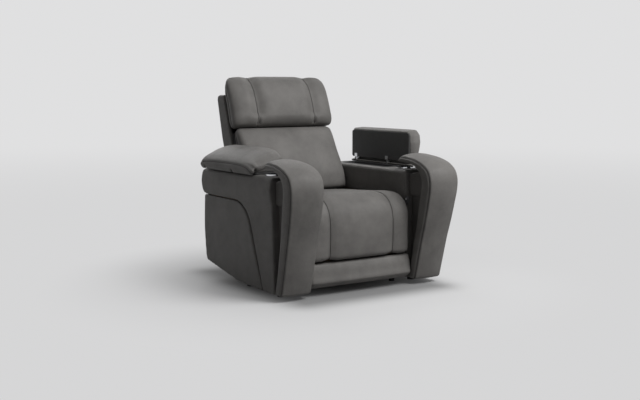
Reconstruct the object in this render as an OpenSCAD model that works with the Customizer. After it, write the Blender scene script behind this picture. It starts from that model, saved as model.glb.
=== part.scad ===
/* [Overall size] */
// Width of one arm
arm_w = 170; // [165:5:200]
// Height of the arm's flat top above the floor
arm_top_z = 580; // [570:5:620]
// Length of an arm's body, from its front post to its rear
arm_len = 728; // [710:2:760]
// Gap between the floor and the front bands
floor_gap = 26; // [20:1:34]

/* [Arms] */
// Thickness of the padded skin on the arms
skin_t = 20; // [18:1:24]
// Thickness of the plywood boards
ply_t = 12; // [10:1:15]
// Height of the padded roll along the top of an arm
roll_h = 135; // [120:1:150]
// How far the roll swells out behind the arm
roll_bulge = 22; // [10:1:30]
// Radius of the arm's long outer top edge
arm_edge_r = 20; // [20:1:26]
// Length of the post at the front of the arm, at its foot
post_foot = 104; // [90:1:120]
// Gap of the sewn seam between the roll and the lower panel
seam_gap = 4; // [3:0.5:6]

/* [Front bands] */
// How far the band leans forward of its foot
band_reach = 110; // [95:1:125]
// Height of the top of the band above the floor
band_top_z = 645; // [640:1:680]
// Width of a band
band_w = 172; // [164:1:176]
// Height of the crown on the band's face
band_crown = 16; // [8:1:20]

/* [Seat] */
// Width of the seat and footrest cushions
cushion_w = 586; // [560:2:620]
// Height of the seat cushion's front edge
seat_front_z = 471; // [462:1:480]
// Thickness of the seat cushion at its front
seat_t = 121; // [115:1:128]
// Radius of the rolled front edge
seat_roll_r = 120; // [110:1:128]
// Height of the crown on the seat and footrest cushions
seat_crown = 14; // [8:1:20]
// Thickness of the footrest cushion
footrest_t = 78; // [70:1:84]

/* [Back] */
// Lean of the back's plane from upright, in degrees
back_lean = 20; // [18:0.5:22]
// Width of the back shell
shell_w = 600; // [580:2:620]
// Width of the back cushion
lumbar_w = 596; // [570:2:606]
// Width of the headrest
headrest_w = 626; // [590:2:640]
// Thickness of the back cushion
lumbar_t = 128; // [120:1:140]
// Thickness of the headrest
headrest_t = 101; // [90:1:106]
// Thickness of the back shell's wall
shell_wall = 12; // [8:1:16]

/* [Storage lids and cups] */
// Height of a lid's pad above the arm
lid_h = 118; // [110:1:130]
// Opening angle of the right lid as it stands
right_lid_open = 90; // [0:5:90]
// Depth of a storage bin
bin_depth = 250; // [200:5:280]
// Outer radius of a cup
cup_r = 42; // [38:0.5:44]
// Depth of a cup
cup_depth = 75; // [60:1:90]

/* [Mechanism] */
// Thickness of the long side plates
plate_t = 6; // [5:0.5:6]
// Radius of the main pivot bolts
pivot_r = 6; // [5:0.5:7]
// Length of the footrest's drive levers
lever_len = 160; // [155:1:165]
// Radius of the drive tube
drive_tube_r = 14; // [12:0.5:15]

/* [Hidden] */

leather = "#5c5955";
dark_leather = "#4a4846";
black_steel = "#26272a";
zinc = "#b9bcc0";
plywood = "#b58d5c";
black_plastic = "#222326";
rubber = "#1b1b1c";

// The part's origin lies under the middle foot, this far behind the front bands
origin_y = 420;
over = 2;
fit = 0.3;
run = 0.05;
open_pivot = 1.5;
fine = 96;

// Arm places, on the right-hand side
cushion_gap = 17;
shell_gap = 10;
lumbar_gap = 12;
x_in = max(cushion_w / 2 + cushion_gap, shell_w / 2 + shell_gap, lumbar_w / 2 + lumbar_gap);
x_out = x_in + arm_w;
x_arm = (x_in + x_out) / 2;
post_front_y = 56;
post_lean = 20;
post_top_r = 22;
neck_reach = 55;
arm_rear_y = post_front_y + arm_len;
roll_rear_y = arm_rear_y + roll_bulge;
roll_z = arm_top_z - roll_h;
roll_corner_r = 42;
seam_lean = 160;
seam_r = 175;
hem_rear_z = 96;
hem_mid_z = 38;
hem_mid_y = 430;
small_r = 6;
ply_front_y = post_front_y + post_lean + skin_t - ply_t / 2;
ply_rear_gap = 46;
ply_rear_y = arm_rear_y - ply_rear_gap;
ply_low_z = 100;
ply_top_z = arm_top_z - ply_t;
ply_x0 = x_in + skin_t;
ply_x1 = x_out - skin_t;

// Storage bin and cup places
bin_in = 40;
bin_out = 44;
bin_x0 = x_in + bin_in;
bin_x1 = x_out - bin_out;
bin_y0 = 290;
bin_rear_gap = 84;
bin_y1 = arm_rear_y - bin_rear_gap;
bin_wall = 3;
rim = 7;
rim_t = 2;
bin_corner_r = 16;
cup_y = 184;
cup_wall = 2.5;
ring_w = 7;
ring_t = 5;

// Lid hinge and lid sizes, with the lid shut
hinge_in = 2;
hinge_up = 16.6;
hinge_x = x_out - hinge_in;
hinge_z = arm_top_z + hinge_up;
knuckle_r = 5;
pin_r = 2.5;
hinge_len = 24;
board_t = 10;
board_up = 3.2;
board_in = 8;
board_z = arm_top_z + board_up;
board_x0 = x_in + board_in;
board_x1 = hinge_x - 2 * knuckle_r;
lid_front_y = 230;
lid_rear_over = 4;
lid_rear_y = arm_rear_y + lid_rear_over;
hinge_from_front = 215;
hinge_from_rear = 53;
hinge_spots = [lid_front_y + hinge_from_front, lid_rear_y - hinge_from_rear];
lid_over = 7;
lid_out = 19;
lid_x0 = x_in - lid_over;
lid_x1 = x_out + lid_out;
strap_t = 2.4;
strap_len = 18;

// Seat, roll centre and the footrest's pivot
seat_face_y = 14;
roll_cy = seat_face_y + seat_roll_r;
roll_cz = seat_front_z - seat_roll_r;
foot_pivot = [roll_cy - seat_roll_r * cos(45), roll_cz + seat_roll_r * sin(45)];
deck_z = seat_front_z - seat_t;
deck_t = 24;
deck_y0 = 134;
deck_y1 = 604;
deck_rail = 45;
seat_rear_y = 600;
seat_rear_drop = 36;
cushion_x = cushion_w / 2;

// Base frame places
plate_gap = 4.5;
plate_x1 = x_in - plate_gap;
plate_x0 = plate_x1 - plate_t;
rail_w = 40;
rail_h = 55;
rail_x0 = plate_x0 - rail_w;
rail_top_z = deck_z - deck_t;
rail_low_z = rail_top_z - rail_h;
rail_y0 = 130;
rail_y1 = 590;
runner_h = 30;
runner_z = 30;
upright_w = 30;
upright_ys = [130, 315, 520];
cross_ys = [130, origin_y - upright_w / 2, 520];
tube_wall = 3;
foot_r = 20;

// Drive linkage: the lever, the crank and the link make a parallelogram
tube_gap = 1;
drive_tube_y = 330;
drive_tube_z = 235;
lever_angle = 33;
lever_arm = lever_len * [sin(lever_angle), -cos(lever_angle)];
lever_end = foot_pivot + lever_arm;
crank_end = [drive_tube_y, drive_tube_z] + lever_arm;
crank_in = 15;
crank_x0 = rail_x0 - crank_in;
crank_t = 4;
link_gap = 2;
link_x1 = crank_x0 - link_gap;
link_t = 4;
link_pin_r = 5;
link_r = 12;
bracket_gap = 1;
bracket_t = 4;
bracket_x0 = plate_x0 - bracket_t - bracket_gap;
bracket_h = 100;
crank_foot = 30;
footboard_gap = 2;
footboard_y = seat_face_y + footrest_t + footboard_gap;
footboard_t = 12;
footboard_z0 = 60;
footboard_z1 = 330;
strip_top_z = 157;
strip_low_z = 41;
strip_gap = 4;
pad_gap = 7;

// Back places, in the back's own plane: u runs to the rear, v up along the lean
back_y = 690;
back_z = 440;
back_pivot = [660, 372];
recline_lever = 110;
recline_angle = 19;
rod_z = back_pivot[1] - recline_lever * cos(recline_angle);
rod_end_y = back_pivot[0] + recline_lever * sin(recline_angle);
back_tube = 25;
back_tube_w = 22;
back_tube_x0 = shell_w / 2 - shell_wall - back_tube_w - fit;
boss_r = 16;
boss_gap = 1;
head_bar = [-50, 366];
head_bar_r = 6;
head_lug_r = 10;
bar_half = 212;
head_plate_x0 = 180;
head_plate_t = 8;
head_lug_x0 = bar_half - head_plate_t;
head_slot = 1.5;

// Controls, on the inner face of the left arm
panel_y = 300;
panel_z = 530;
panel_len = 116;
panel_h = 40;
panel_t = 3;
panel_deep = 15;
button_r = 8;
button_pitch = 24;
button_proud = 2.5;
button_in = 1;

function unit(v) = v / norm(v);
function back_point(u, v) =
  [back_y + v * sin(back_lean) + u * cos(back_lean), back_z + v * cos(back_lean) - u * sin(back_lean)];

// Arc of one rounded corner at b, between a and c
straight_deg = 89.5;
function corner(a, b, c, r, steps) =
  let (d1 = unit(a - b), d2 = unit(c - b), half = acos(d1 * d2) / 2)
  r == 0 || half > straight_deg ? [b] :
  let (mid = b + unit(d1 + d2) * r / sin(half), p = b + d1 * r / tan(half), q = b + d2 * r / tan(half),
    a0 = atan2(p[1] - mid[1], p[0] - mid[0]), a1 = atan2(q[1] - mid[1], q[0] - mid[0]),
    turn = a1 - a0 > 180 ? a1 - a0 - 360 : a1 - a0 < -180 ? a1 - a0 + 360 : a1 - a0)
  [for (i = [0:steps]) mid + r * [cos(a0 + turn * i / steps), sin(a0 + turn * i / steps)]];

// Outline through corners [y, z, radius]
function rounded(p, steps = 8) = let (n = len(p)) [
  for (i = [0:n - 1])
    each corner([for (k = [0, 1]) p[(i + n - 1) % n][k]], [for (k = [0, 1]) p[i][k]],
      [for (k = [0, 1]) p[(i + 1) % n][k]], p[i][2], steps)
];

// Plate with the outline in the Y-Z plane, between two places in X
module slab(points, x0, x1) {
  translate([x0, 0, 0]) rotate([90, 0, 90]) linear_extrude(x1 - x0) polygon(points);
}

module slab2d(x0, x1) {
  translate([x0, 0, 0]) rotate([90, 0, 90]) linear_extrude(x1 - x0) children();
}

module rod_x(p, r, x0, x1) {
  translate([x0, p[0], p[1]]) rotate([0, 90, 0]) cylinder(h = x1 - x0, r = r, $fn = fine);
}

module rod_y(x, z, r, y0, y1) {
  translate([x, y0, z]) rotate([-90, 0, 0]) cylinder(h = y1 - y0, r = r, $fn = fine);
}

module block(a, b) {
  translate(a) cube(b - a);
}

// Flat bar with round ends in the Y-Z plane, its sides drawn in a little from the round ends
bar_waist = 0.6;
module bar2d(a, b, r) {
  side = r - bar_waist;
  for (p = [a, b]) translate(p) circle(r = r, $fn = fine);
  translate(a) rotate(atan2(b[1] - a[1], b[0] - a[0])) translate([0, -side]) square([norm(b - a), 2 * side]);
}

module round_rect2d(w, h, r) {
  for (x = [r, w - r], y = [r, h - r]) translate([x, y]) circle(r = r, $fn = fine);
  translate([r, 0]) square([w - 2 * r, h]);
  translate([0, r]) square([w, h - 2 * r]);
}

module both_sides() {
  children();
  mirror([1, 0, 0]) children();
}

module left() {
  mirror([1, 0, 0]) children();
}

module framed() {
  translate([0, -origin_y, 0]) children();
}

// Closed cushion form. A station is [front y, front z, rear y, rear z, half width, crown, middle x];
// a section row is [share of the half width, share of the depth, share of the crown].
function form_points(stations, section) = [
  for (s = stations)
    let (f = [s[0], s[1]], r = [s[2], s[3]], out = unit(f - r))
    for (q = section)
      let (p = f + (r - f) * q[1] + out * s[5] * q[2]) [s[6] + s[4] * q[0], p[0], p[1]],
  for (s = [stations[0], stations[len(stations) - 1]]) [s[6], (s[0] + s[2]) / 2, (s[1] + s[3]) / 2]
];
function form_faces(n, m) = [
  for (i = [0:n - 2], j = [0:m - 1])
    let (a = i * m + j, b = i * m + (j + 1) % m)
    each [[a, b, b + m], [a, b + m, a + m]],
  for (j = [0:m - 1]) [n * m, (j + 1) % m, j],
  for (j = [0:m - 1]) [n * m + 1, (n - 1) * m + j, (n - 1) * m + (j + 1) % m]
];
// Stations in the order that turns the faces outward
function outward(s) =
  let (a = s[0], b = s[1], out = [a[0] - a[2], a[1] - a[3]],
    way = [b[0] + b[2] - a[0] - a[2], b[1] + b[3] - a[1] - a[3]])
  out[0] * way[1] > out[1] * way[0] ? s : [for (i = [len(s) - 1:-1:0]) s[i]];
module form(stations, section) {
  polyhedron(form_points(outward(stations), section), form_faces(len(stations), len(section)));
}

// Cushion sections: half of the outline, from the middle of the top to the middle of the underside
function mirrored_section(half) = concat(
  half, [for (i = [len(half) - 2:-1:1]) [-half[i][0], half[i][1], half[i][2]]]
);
function sewn_section(seam_share, sink_share) = mirrored_section([
  [0, 0, 1], [0.35, 0, 0.9], [seam_share - 0.05, 0, 0.62], [seam_share, 0, sink_share],
  [seam_share + 0.05, 0, 0.5], [0.86, 0, 0.2], [0.94, 0.03, 0], [0.985, 0.14, 0], [1, 0.34, 0],
  [0.985, 0.62, 0], [0.97, 0.9, 0], [0.93, 1, 0], [0, 1, 0]
]);
seat_section_shares = sewn_section(0.665, -0.1);
headrest_section_shares = sewn_section(0.576, -0.75);
plain_section_shares = mirrored_section([
  [0, 0, 1], [0.4, 0, 0.88], [0.72, 0, 0.5], [0.88, 0, 0.12], [0.95, 0.04, 0], [0.99, 0.16, 0],
  [1, 0.38, 0], [0.985, 0.66, 0], [0.97, 0.92, 0], [0.93, 1, 0], [0, 1, 0]
]);
band_section_shares = mirrored_section([
  [0, 0, 1], [0.45, 0, 0.82], [0.75, 0, 0.48], [0.92, 0, 0.14], [0.985, 0.06, 0], [1, 0.2, 0],
  [1, 0.9, 0], [0.97, 1, 0], [0, 1, 0]
]);

// Bands: front crease and rear edge, as shares of the band's reach and of its height
band_front_shares = [
  [-0.04, 0], [-0.27, 0.184], [-0.45, 0.341], [-0.62, 0.494], [-0.75, 0.646], [-0.815, 0.758],
  [-0.785, 0.83], [-0.62, 0.893], [-0.3, 0.94], [0.1, 0.974], [0.58, 0.993], [1.05, 1], [1.28, 0.982]
];
band_rear_shares = [
  [0.42, 0.001], [0.18, 0.171], [0.04, 0.291], [-0.17, 0.447], [-0.31, 0.601], [-0.44, 0.714],
  [-0.51, 0.79], [-0.43, 0.863], [-0.2, 0.91], [0.18, 0.947], [0.63, 0.956], [1.05, 0.96], [1.28, 0.962]
];
band_rise = band_top_z - floor_gap;
function band_point(s) = [s[0] * band_reach, floor_gap + s[1] * band_rise];
band_stations = [
  for (i = [0:len(band_front_shares) - 1])
    let (f = band_point(band_front_shares[i]), r = band_point(band_rear_shares[i]))
    [f[0], f[1], r[0], r[1], band_w / 2, i < 1 ? band_crown / 2 : band_crown, x_arm]
];
neck_rows = [1:7];

// Seat cushion: flat top, then the rolled front as far as the footrest's pivot
split_deg = 0.2;
roll_steps = 4;
pivot_t = 84;
cushion_tuck = 12;
seat_flat_len = seat_rear_y - roll_cy;
// Rows from the seat's rear: place along it, drop of the top, lift of the underside, tuck and crown
seat_flat_shares = [
  [0, 1.4, 1, 1, 0], [0.03, 1, 0, 0, 0.14], [0.15, 0.733, 0, 0, 0.7], [0.472, 0.467, 0, 0.25, 1],
  [0.794, 0.167, 0, 0.25, 1], [0.944, 0, 0, 0, 1]
];
roll_crown_shares = [1, 0.97, 0.93, 0.9, 0];
function roll_station(a, t, crown, gap) = [
  roll_cy + seat_roll_r * cos(a), roll_cz + seat_roll_r * sin(a),
  roll_cy + (seat_roll_r - t + gap) * cos(a), roll_cz + (seat_roll_r - t + gap) * sin(a), cushion_x, crown, 0
];
seat_stations = concat(
  [
    for (q = seat_flat_shares)
      let (y = seat_rear_y - q[0] * seat_flat_len)
      [
        y, seat_front_z - q[1] * seat_rear_drop, y, deck_z + fit + q[2] * seat_rear_drop,
        cushion_x - q[3] * cushion_tuck, q[4] * seat_crown, 0
      ]
  ],
  [
    for (i = [0:roll_steps])
      let (share = i / roll_steps)
      roll_station(90 + (45 - split_deg) * share, seat_t + (pivot_t - seat_t) * share,
        seat_crown * roll_crown_shares[i], fit)
  ]
);
// Rows down the footrest: drop, draw-in of the face, lift of the rear, tuck and crown
footrest_low_z = strip_top_z + pad_gap;
footrest_shares = [
  [0.403, 0, 0, 0.25, 1], [0.8, 0, 0, 0.08, 0.8], [0.955, 0.064, 0.04, 0.17, 0.2], [1, 0.28, 0, 0.67, 0]
];
footrest_stations = concat(
  [
    for (i = [0:roll_steps])
      let (share = i / roll_steps)
      roll_station(135 + split_deg + (45 - split_deg) * share, pivot_t + (footrest_t - pivot_t) * share,
        seat_crown * roll_crown_shares[roll_steps - i], 0)
  ],
  [
    for (q = footrest_shares)
      let (drop = roll_cz - footrest_low_z, z = roll_cz - q[0] * drop)
      [
        seat_face_y + q[1] * footrest_t, z, seat_face_y + footrest_t, z + q[2] * drop,
        cushion_x - q[3] * cushion_tuck, q[4] * seat_crown, 0
      ]
  ]
);
// Rows down the skirt pad: height, draw-in of the face, tuck and crown
strip_proud = 2;
strip_x = x_in - strip_gap;
strip_face_y = seat_face_y - strip_proud;
strip_rear_y = footboard_y - fit;
strip_shares = [
  [1, 0.22, 0.75, 0], [0.935, 0.05, 0.17, 0.2], [0.71, 0, 0, 0.7], [0.32, 0, 0, 0.7],
  [0.065, 0.05, 0.17, 0.2], [0, 0.22, 0.75, 0]
];
strip_stations = [
  for (q = strip_shares)
    let (z = strip_low_z + q[0] * (strip_top_z - strip_low_z))
    [
      strip_face_y + q[1] * (strip_rear_y - strip_face_y), z, strip_rear_y, z,
      strip_x - q[2] * cushion_tuck, q[3] * seat_crown, 0
    ]
];

// Back cushions. A row is the front's depth and height, the rear's depth and height, the half width and
// the crown, as shares of the cushion's own thickness, height, half width and crown.
function back_stations(rows, t, v0, h, x, crown) = [
  for (q = rows)
    let (f = back_point(-q[0] * t, v0 + q[1] * h), r = back_point(-q[2] * t, v0 + q[3] * h))
    [f[0], f[1], r[0], r[1], q[4] * x, q[5] * crown, 0]
];
lumbar_h = 370;
lumbar_v = -24;
lumbar_crown = 20;
lumbar_shares = [
  [0.74, 0, 0.15, 0.086, 0.952, 0], [0.92, 0.011, 0, 0.092, 0.99, 0.3], [1, 0.146, 0, 0.173, 1, 1],
  [0.985, 0.389, 0, 0.389, 0.986, 1], [0.85, 0.578, 0, 0.578, 0.986, 1], [0.715, 0.765, 0, 0.741, 0.997, 1],
  [0.61, 0.897, 0, 0.876, 1, 0.6], [0.53, 0.965, 0.015, 0.968, 0.986, 0.2], [0.41, 0.997, 0.106, 1, 0.952, 0]
];
headrest_x = headrest_w / 2;
headrest_h = 291;
headrest_v = 350;
headrest_crown = 13;
headrest_shares = [
  [0.6, 0, 0.198, 0.007, 0.946, 0], [0.79, 0.022, 0.04, 0.029, 0.983, 0.2], [0.93, 0.094, 0, 0.086, 1, 0.7],
  [1, 0.288, 0, 0.324, 1, 1], [1, 0.522, 0, 0.504, 0.997, 1], [0.88, 0.763, 0.03, 0.701, 0.997, 1],
  [0.68, 0.9, 0.129, 0.849, 0.98, 0.7], [0.55, 0.964, 0.178, 0.906, 0.949, 0.35], [0.42, 1, 0.257, 0.95,
    0.9, 0]
];

// Lid pad: its stations run across the lid and its sections along it, from the rear to the nose.
// A row is the place across, the top, the underside's lift as a share of the skirt, and the nose's set-back.
lid_len = lid_rear_y - lid_front_y;
lid_span = lid_x1 - lid_x0;
groove_side = fit / 100;
groove_share0 = (board_x1 - fit - run - lid_x0) / lid_span;
groove_share1 = (hinge_x + knuckle_r + run - lid_x0) / lid_span;
lid_shares = [
  [0, 0.76, 4, 0.08], [0.015, 0.9, 2, 0.07], [0.046, 0.97, 1, 0.055], [0.138, 1, 1, 0.025], [0.332,
    0.955, 1, 0.004],
  [0.536, 0.85, 1, 0], [0.648, 0.765, 1, 0], [0.776, 0.655, 1, 0], [groove_share0 - groove_side, 0.593,
    1, 0],
  [groove_share0, 0.588, 2, 0], [groove_share1, 0.486, 2, 0], [groove_share1 + groove_side, 0.482, 0, 0],
  [0.934, 0.462, 0, 0], [0.954, 0.425, 0.15, 0], [0.98, 0.365, 0.5, 0], [1, 0.28, 1.4, 0.01]
];
groove_up = 3;
groove_z = hinge_z + knuckle_r + groove_up;
skirt_z = arm_top_z - over;
lid_crown = 4;
lid_section_shares = [
  [0, 0, 1], [0.35, 0, 0.9], [0.7, 0, 0.5], [0.88, 0.03, 0], [0.96, 0.14, 0], [0.995, 0.4, 0],
  [1, 0.62, 0], [0.975, 0.88, 0], [0.945, 1, 0], [0, 1, 0], [-0.945, 1, 0], [-0.985, 0.78, 0], [-1, 0.56, 0],
  [-0.985, 0.43, 0], [-0.94, 0.3, 0], [-0.87, 0.16, 0], [-0.77, 0.06, 0.05], [-0.6, 0, 0.3], [-0.3, 0, 0.8]
];
function lid_under(lift) =
  let (flat_z = board_z + board_t + fit)
  lift < 1 ? skirt_z + lift * (flat_z - skirt_z) :
  lift < 2 ? flat_z + (lift - 1) * (groove_z - flat_z) : groove_z + (lift - 2) * (lid_h / 4);
lid_stations = [
  for (q = lid_shares)
    let (x = lid_x0 + lid_span * q[0], y0 = lid_front_y + lid_len * q[3])
    [x, arm_top_z + lid_h * q[1], x, lid_under(q[2]), (lid_rear_y - y0) / 2, lid_crown,
      (lid_rear_y + y0) / 2]
];

// Rotates a shut right lid about its hinge
module lid_turned(deg) {
  translate([hinge_x, 0, hinge_z]) rotate([0, deg, 0]) translate([-hinge_x, 0, -hinge_z]) children();
}

// Outer bounds of an arm with its long edges rounded
module arm_bounds(y1) {
  intersection() {
    translate([x_in, y1, 0]) rotate([90, 0, 0]) linear_extrude(y1 + over)
      translate([0, -arm_w]) round_rect2d(arm_w, arm_top_z + arm_w, arm_edge_r);
    translate([x_in, -y1, 0]) linear_extrude(arm_top_z) round_rect2d(arm_w, 2 * y1, arm_edge_r);
  }
}

module arm_hollow() {
  block([ply_x0 - fit, ply_front_y - fit, -over], [ply_x1 + fit, ply_rear_y + fit, ply_top_z + fit]);
}

module bin_well(grow, z0) {
  translate([bin_x0 - grow, bin_y0 - grow, z0]) linear_extrude(arm_top_z + over - z0)
    round_rect2d(bin_x1 - bin_x0 + 2 * grow, bin_y1 - bin_y0 + 2 * grow, bin_corner_r + grow);
}

module cup_well(grow, z0) {
  translate([x_arm, cup_y, z0]) cylinder(h = arm_top_z + over - z0, r = cup_r + grow, $fn = fine);
}

arm_bolt_r = 4;
arm_bolt_ys = [170, 355, 500];
arm_bolt_drop = 18;
arm_bolt_z = rail_low_z - arm_bolt_drop;
module arm_bolt_holes(x0, x1) {
  for (y = arm_bolt_ys) rod_x([y, arm_bolt_z], arm_bolt_r + fit, x0, x1);
}

hem_up = 2;
hem_z = floor_gap + hem_up;
rear_round_drop = 116;
hem_step = 26;
hem_step_r = 28;
hem_mid_r = 200;
function seam_foot(gap) = post_front_y + post_foot + gap;
function seam_knee(gap) = seam_foot(gap) + seam_lean;
shoulder_outline = rounded([
  [post_front_y, hem_z, small_r], [post_front_y + post_lean, arm_top_z, post_top_r],
  [roll_rear_y, arm_top_z, roll_corner_r], [roll_rear_y, roll_z, roll_corner_r],
  [seam_knee(0), roll_z, seam_r], [seam_foot(0), hem_z, small_r]
]);
cover_outline = rounded([
  [seam_foot(seam_gap), hem_z, small_r], [seam_knee(seam_gap), roll_z - seam_gap, seam_r],
  [arm_rear_y, roll_z - seam_gap, small_r], [arm_rear_y, roll_z - rear_round_drop, post_foot],
  [arm_rear_y - hem_step, hem_rear_z, hem_step_r], [hem_mid_y, hem_mid_z, hem_mid_r]
]);

module shoulder() color(leather) {
  difference() {
    intersection() {
      slab(shoulder_outline, x_in, x_out);
      arm_bounds(roll_rear_y);
    }
    arm_hollow();
    bin_well(fit, ply_top_z - over);
    cup_well(fit, ply_top_z - over);
    arm_bolt_holes(x_in - over, ply_x0 + over);
  }
}

module left_shoulder() color(leather) {
  left() difference() {
    shoulder();
    panel_shape(fit, x_in - over, x_in + panel_deep + fit);
  }
}

module lower_cover() color(leather) {
  difference() {
    intersection() {
      slab(cover_outline, x_in, x_out);
      arm_bounds(arm_rear_y);
    }
    arm_hollow();
    arm_bolt_holes(x_in - over, ply_x0 + over);
  }
}

module arm_frame() color(plywood) {
  difference() {
    block([ply_x0, ply_front_y, ply_low_z], [ply_x1, ply_rear_y, ply_top_z]);
    block([ply_x0 + ply_t, ply_front_y + ply_t, ply_low_z + ply_t],
      [ply_x1 - ply_t, ply_rear_y - ply_t, ply_top_z - ply_t]);
    bin_well(fit, ply_top_z - 2 * ply_t);
    cup_well(fit, arm_top_z - cup_depth - over);
    arm_bolt_holes(ply_x0 - over, ply_x0 + ply_t + over);
  }
}

neck_inset = 20;
neck_low_inset = 34;
neck_seam_up = 8;
neck_seam_z = roll_z + neck_seam_up;
neck_top_z = arm_top_z - over;
function post_face(z) = post_front_y + post_lean * (z - hem_z) / (arm_top_z - hem_z);
module neck() color(dark_leather) {
  back = [for (i = neck_rows) band_point(band_rear_shares[i]) + [fit, 0]];
  post = [for (z = [arm_top_z - post_top_r, ply_low_z]) [post_face(z) - fit, z]];
  outline = concat(back, [[band_point(band_rear_shares[7])[0] + neck_reach, neck_top_z]], post);
  for (part = [[neck_inset, neck_seam_z, arm_top_z], [neck_low_inset, floor_gap, neck_seam_z]])
    intersection() {
      slab(outline, x_in + part[0], x_out - part[0]);
      block([x_in, -band_reach, part[1]], [x_out, post_front_y + post_lean, part[2]]);
    }
}

module front_band() color(leather) {
  form(band_stations, band_section_shares);
}

module bin() color(black_plastic) {
  difference() {
    union() {
      bin_well(0, arm_top_z - bin_depth);
      translate([bin_x0 - rim, bin_y0 - rim, arm_top_z]) linear_extrude(rim_t)
        round_rect2d(bin_x1 - bin_x0 + 2 * rim, bin_y1 - bin_y0 + 2 * rim, bin_corner_r + rim);
    }
    bin_well(-bin_wall, arm_top_z - bin_depth + bin_wall);
    translate([0, 0, rim_t]) bin_well(-bin_wall, arm_top_z - bin_depth + bin_wall);
  }
}

module cup() color(zinc) {
  difference() {
    union() {
      translate([x_arm, cup_y, arm_top_z - cup_depth]) cylinder(h = cup_depth, r = cup_r, $fn = fine);
      translate([x_arm, cup_y, arm_top_z]) cylinder(h = rim_t, r = cup_r + ring_w, $fn = fine);
    }
    translate([x_arm, cup_y, arm_top_z - cup_depth + cup_wall])
      cylinder(h = cup_depth + over, r = cup_r - cup_wall, $fn = fine);
  }
}

module cup_ring() color(zinc) {
  translate([x_arm, cup_y, arm_top_z + rim_t]) difference() {
    cylinder(h = ring_t, r = cup_r + ring_w, $fn = fine);
    translate([0, 0, -over]) cylinder(h = ring_t + 2 * over, r = cup_r - cup_wall, $fn = fine);
    translate([0, 0, ring_t - rim_t]) difference() {
      cylinder(h = ring_t, r = cup_r + ring_w + over, $fn = fine);
      cylinder(h = ring_t, r = cup_r + ring_w / 2, $fn = fine);
    }
  }
}

knuckle_len = hinge_len / 3;
leaf_t = 2;
leaf_x0 = bin_x1 + rim + leaf_t;
leaf_tongue = 18;
module hinge_leaf() color(zinc) {
  for (y = hinge_spots) {
    block([leaf_x0, y - hinge_len / 2, arm_top_z], [hinge_x - knuckle_r - leaf_tongue, y + hinge_len / 2,
      arm_top_z + leaf_t]);
    y0 = y - knuckle_len / 2 + run;
    y1 = y + knuckle_len / 2 - run;
    rod_y(hinge_x, hinge_z, knuckle_r, y0, y1);
    block([leaf_x0, y0, arm_top_z], [hinge_x - knuckle_r + leaf_t, y1, arm_top_z + leaf_t]);
    block([hinge_x - knuckle_r - leaf_t, y0, arm_top_z], [hinge_x - knuckle_r + leaf_t, y1, hinge_z]);
    rod_y(hinge_x, hinge_z, pin_r, y - hinge_len / 2, y + hinge_len / 2);
  }
}

module lid_strap() color(zinc) {
  for (y = hinge_spots) {
    block([board_x1 - strap_len, y - hinge_len / 2, board_z], [board_x1 + over, y + hinge_len / 2,
      board_z + strap_t]);
    for (side = [-1, 1]) {
      y0 = y + side * knuckle_len - knuckle_len / 2 + run;
      y1 = y + side * knuckle_len + knuckle_len / 2 - run;
      difference() {
        union() {
          rod_y(hinge_x, hinge_z, knuckle_r, y0, y1);
          block([board_x1 + fit, y0, board_z], [board_x1 + over, y1, hinge_z + knuckle_r]);
          block([board_x1 + fit, y0, hinge_z], [hinge_x, y1, hinge_z + knuckle_r]);
        }
        rod_y(hinge_x, hinge_z, pin_r + run, y0 - over, y1 + over);
      }
    }
  }
}

board_nose = 18;
board_tail = 17;
board_r = 12;
module lid_board() color(black_plastic) {
  difference() {
    translate([board_x0, lid_front_y + board_nose, board_z]) linear_extrude(board_t)
      round_rect2d(board_x1 - board_x0, lid_rear_y - lid_front_y - board_nose - board_tail, board_r);
    for (y = hinge_spots)
      block([board_x1 - strap_len - fit, y - hinge_len / 2 - fit, board_z - over],
        [board_x1 + over, y + hinge_len / 2 + fit, board_z + strap_t + fit]);
  }
}

module lid_pad() color(leather) {
  difference() {
    rotate([0, 0, -90]) mirror([1, 0, 0]) form(lid_stations, lid_section_shares);
    for (y = hinge_spots)
      block([board_x1, y - knuckle_len / 2 - over, skirt_z - over], [lid_x1 + over,
        y + knuckle_len / 2 + over, hinge_z + over]);
  }
}

module base_frame() color(black_steel) {
  both_sides() difference() {
    union() {
      block([rail_x0, rail_y0, rail_low_z], [plate_x0, rail_y1, rail_top_z]);
      block([rail_x0, rail_y0, runner_z], [plate_x0, rail_y1 - upright_w, runner_z + runner_h]);
      for (y = upright_ys)
        block([rail_x0, y, runner_z], [plate_x0, y + upright_w, rail_top_z]);
    }
    block([rail_x0 + tube_wall, rail_y0 - over, rail_low_z + tube_wall],
      [plate_x0 - tube_wall, rail_y1 + over, rail_top_z - tube_wall]);
    rod_x([drive_tube_y, drive_tube_z], drive_tube_r + run, rail_x0 - over, rail_x0 + rail_w / 2);
  }
  for (y = cross_ys)
    block([-rail_x0, y, runner_z], [rail_x0, y + upright_w, runner_z + runner_h]);
}

module base_feet() color(rubber) {
  for (p = [[-1, rail_y0], [1, rail_y0], [-1, upright_ys[2]], [1, upright_ys[2]], [0, cross_ys[1]]])
    translate([p[0] * (plate_x0 + rail_x0) / 2, p[1] + upright_w / 2, 0])
      cylinder(h = runner_z, r = foot_r * 3 / 4, $fn = fine);
}

module arm_feet() color(rubber) {
  both_sides() for (y = [ply_front_y + 2 * foot_r, hem_mid_y])
    translate([x_arm, y, 0]) cylinder(h = ply_low_z, r = foot_r, $fn = fine);
}

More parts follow.
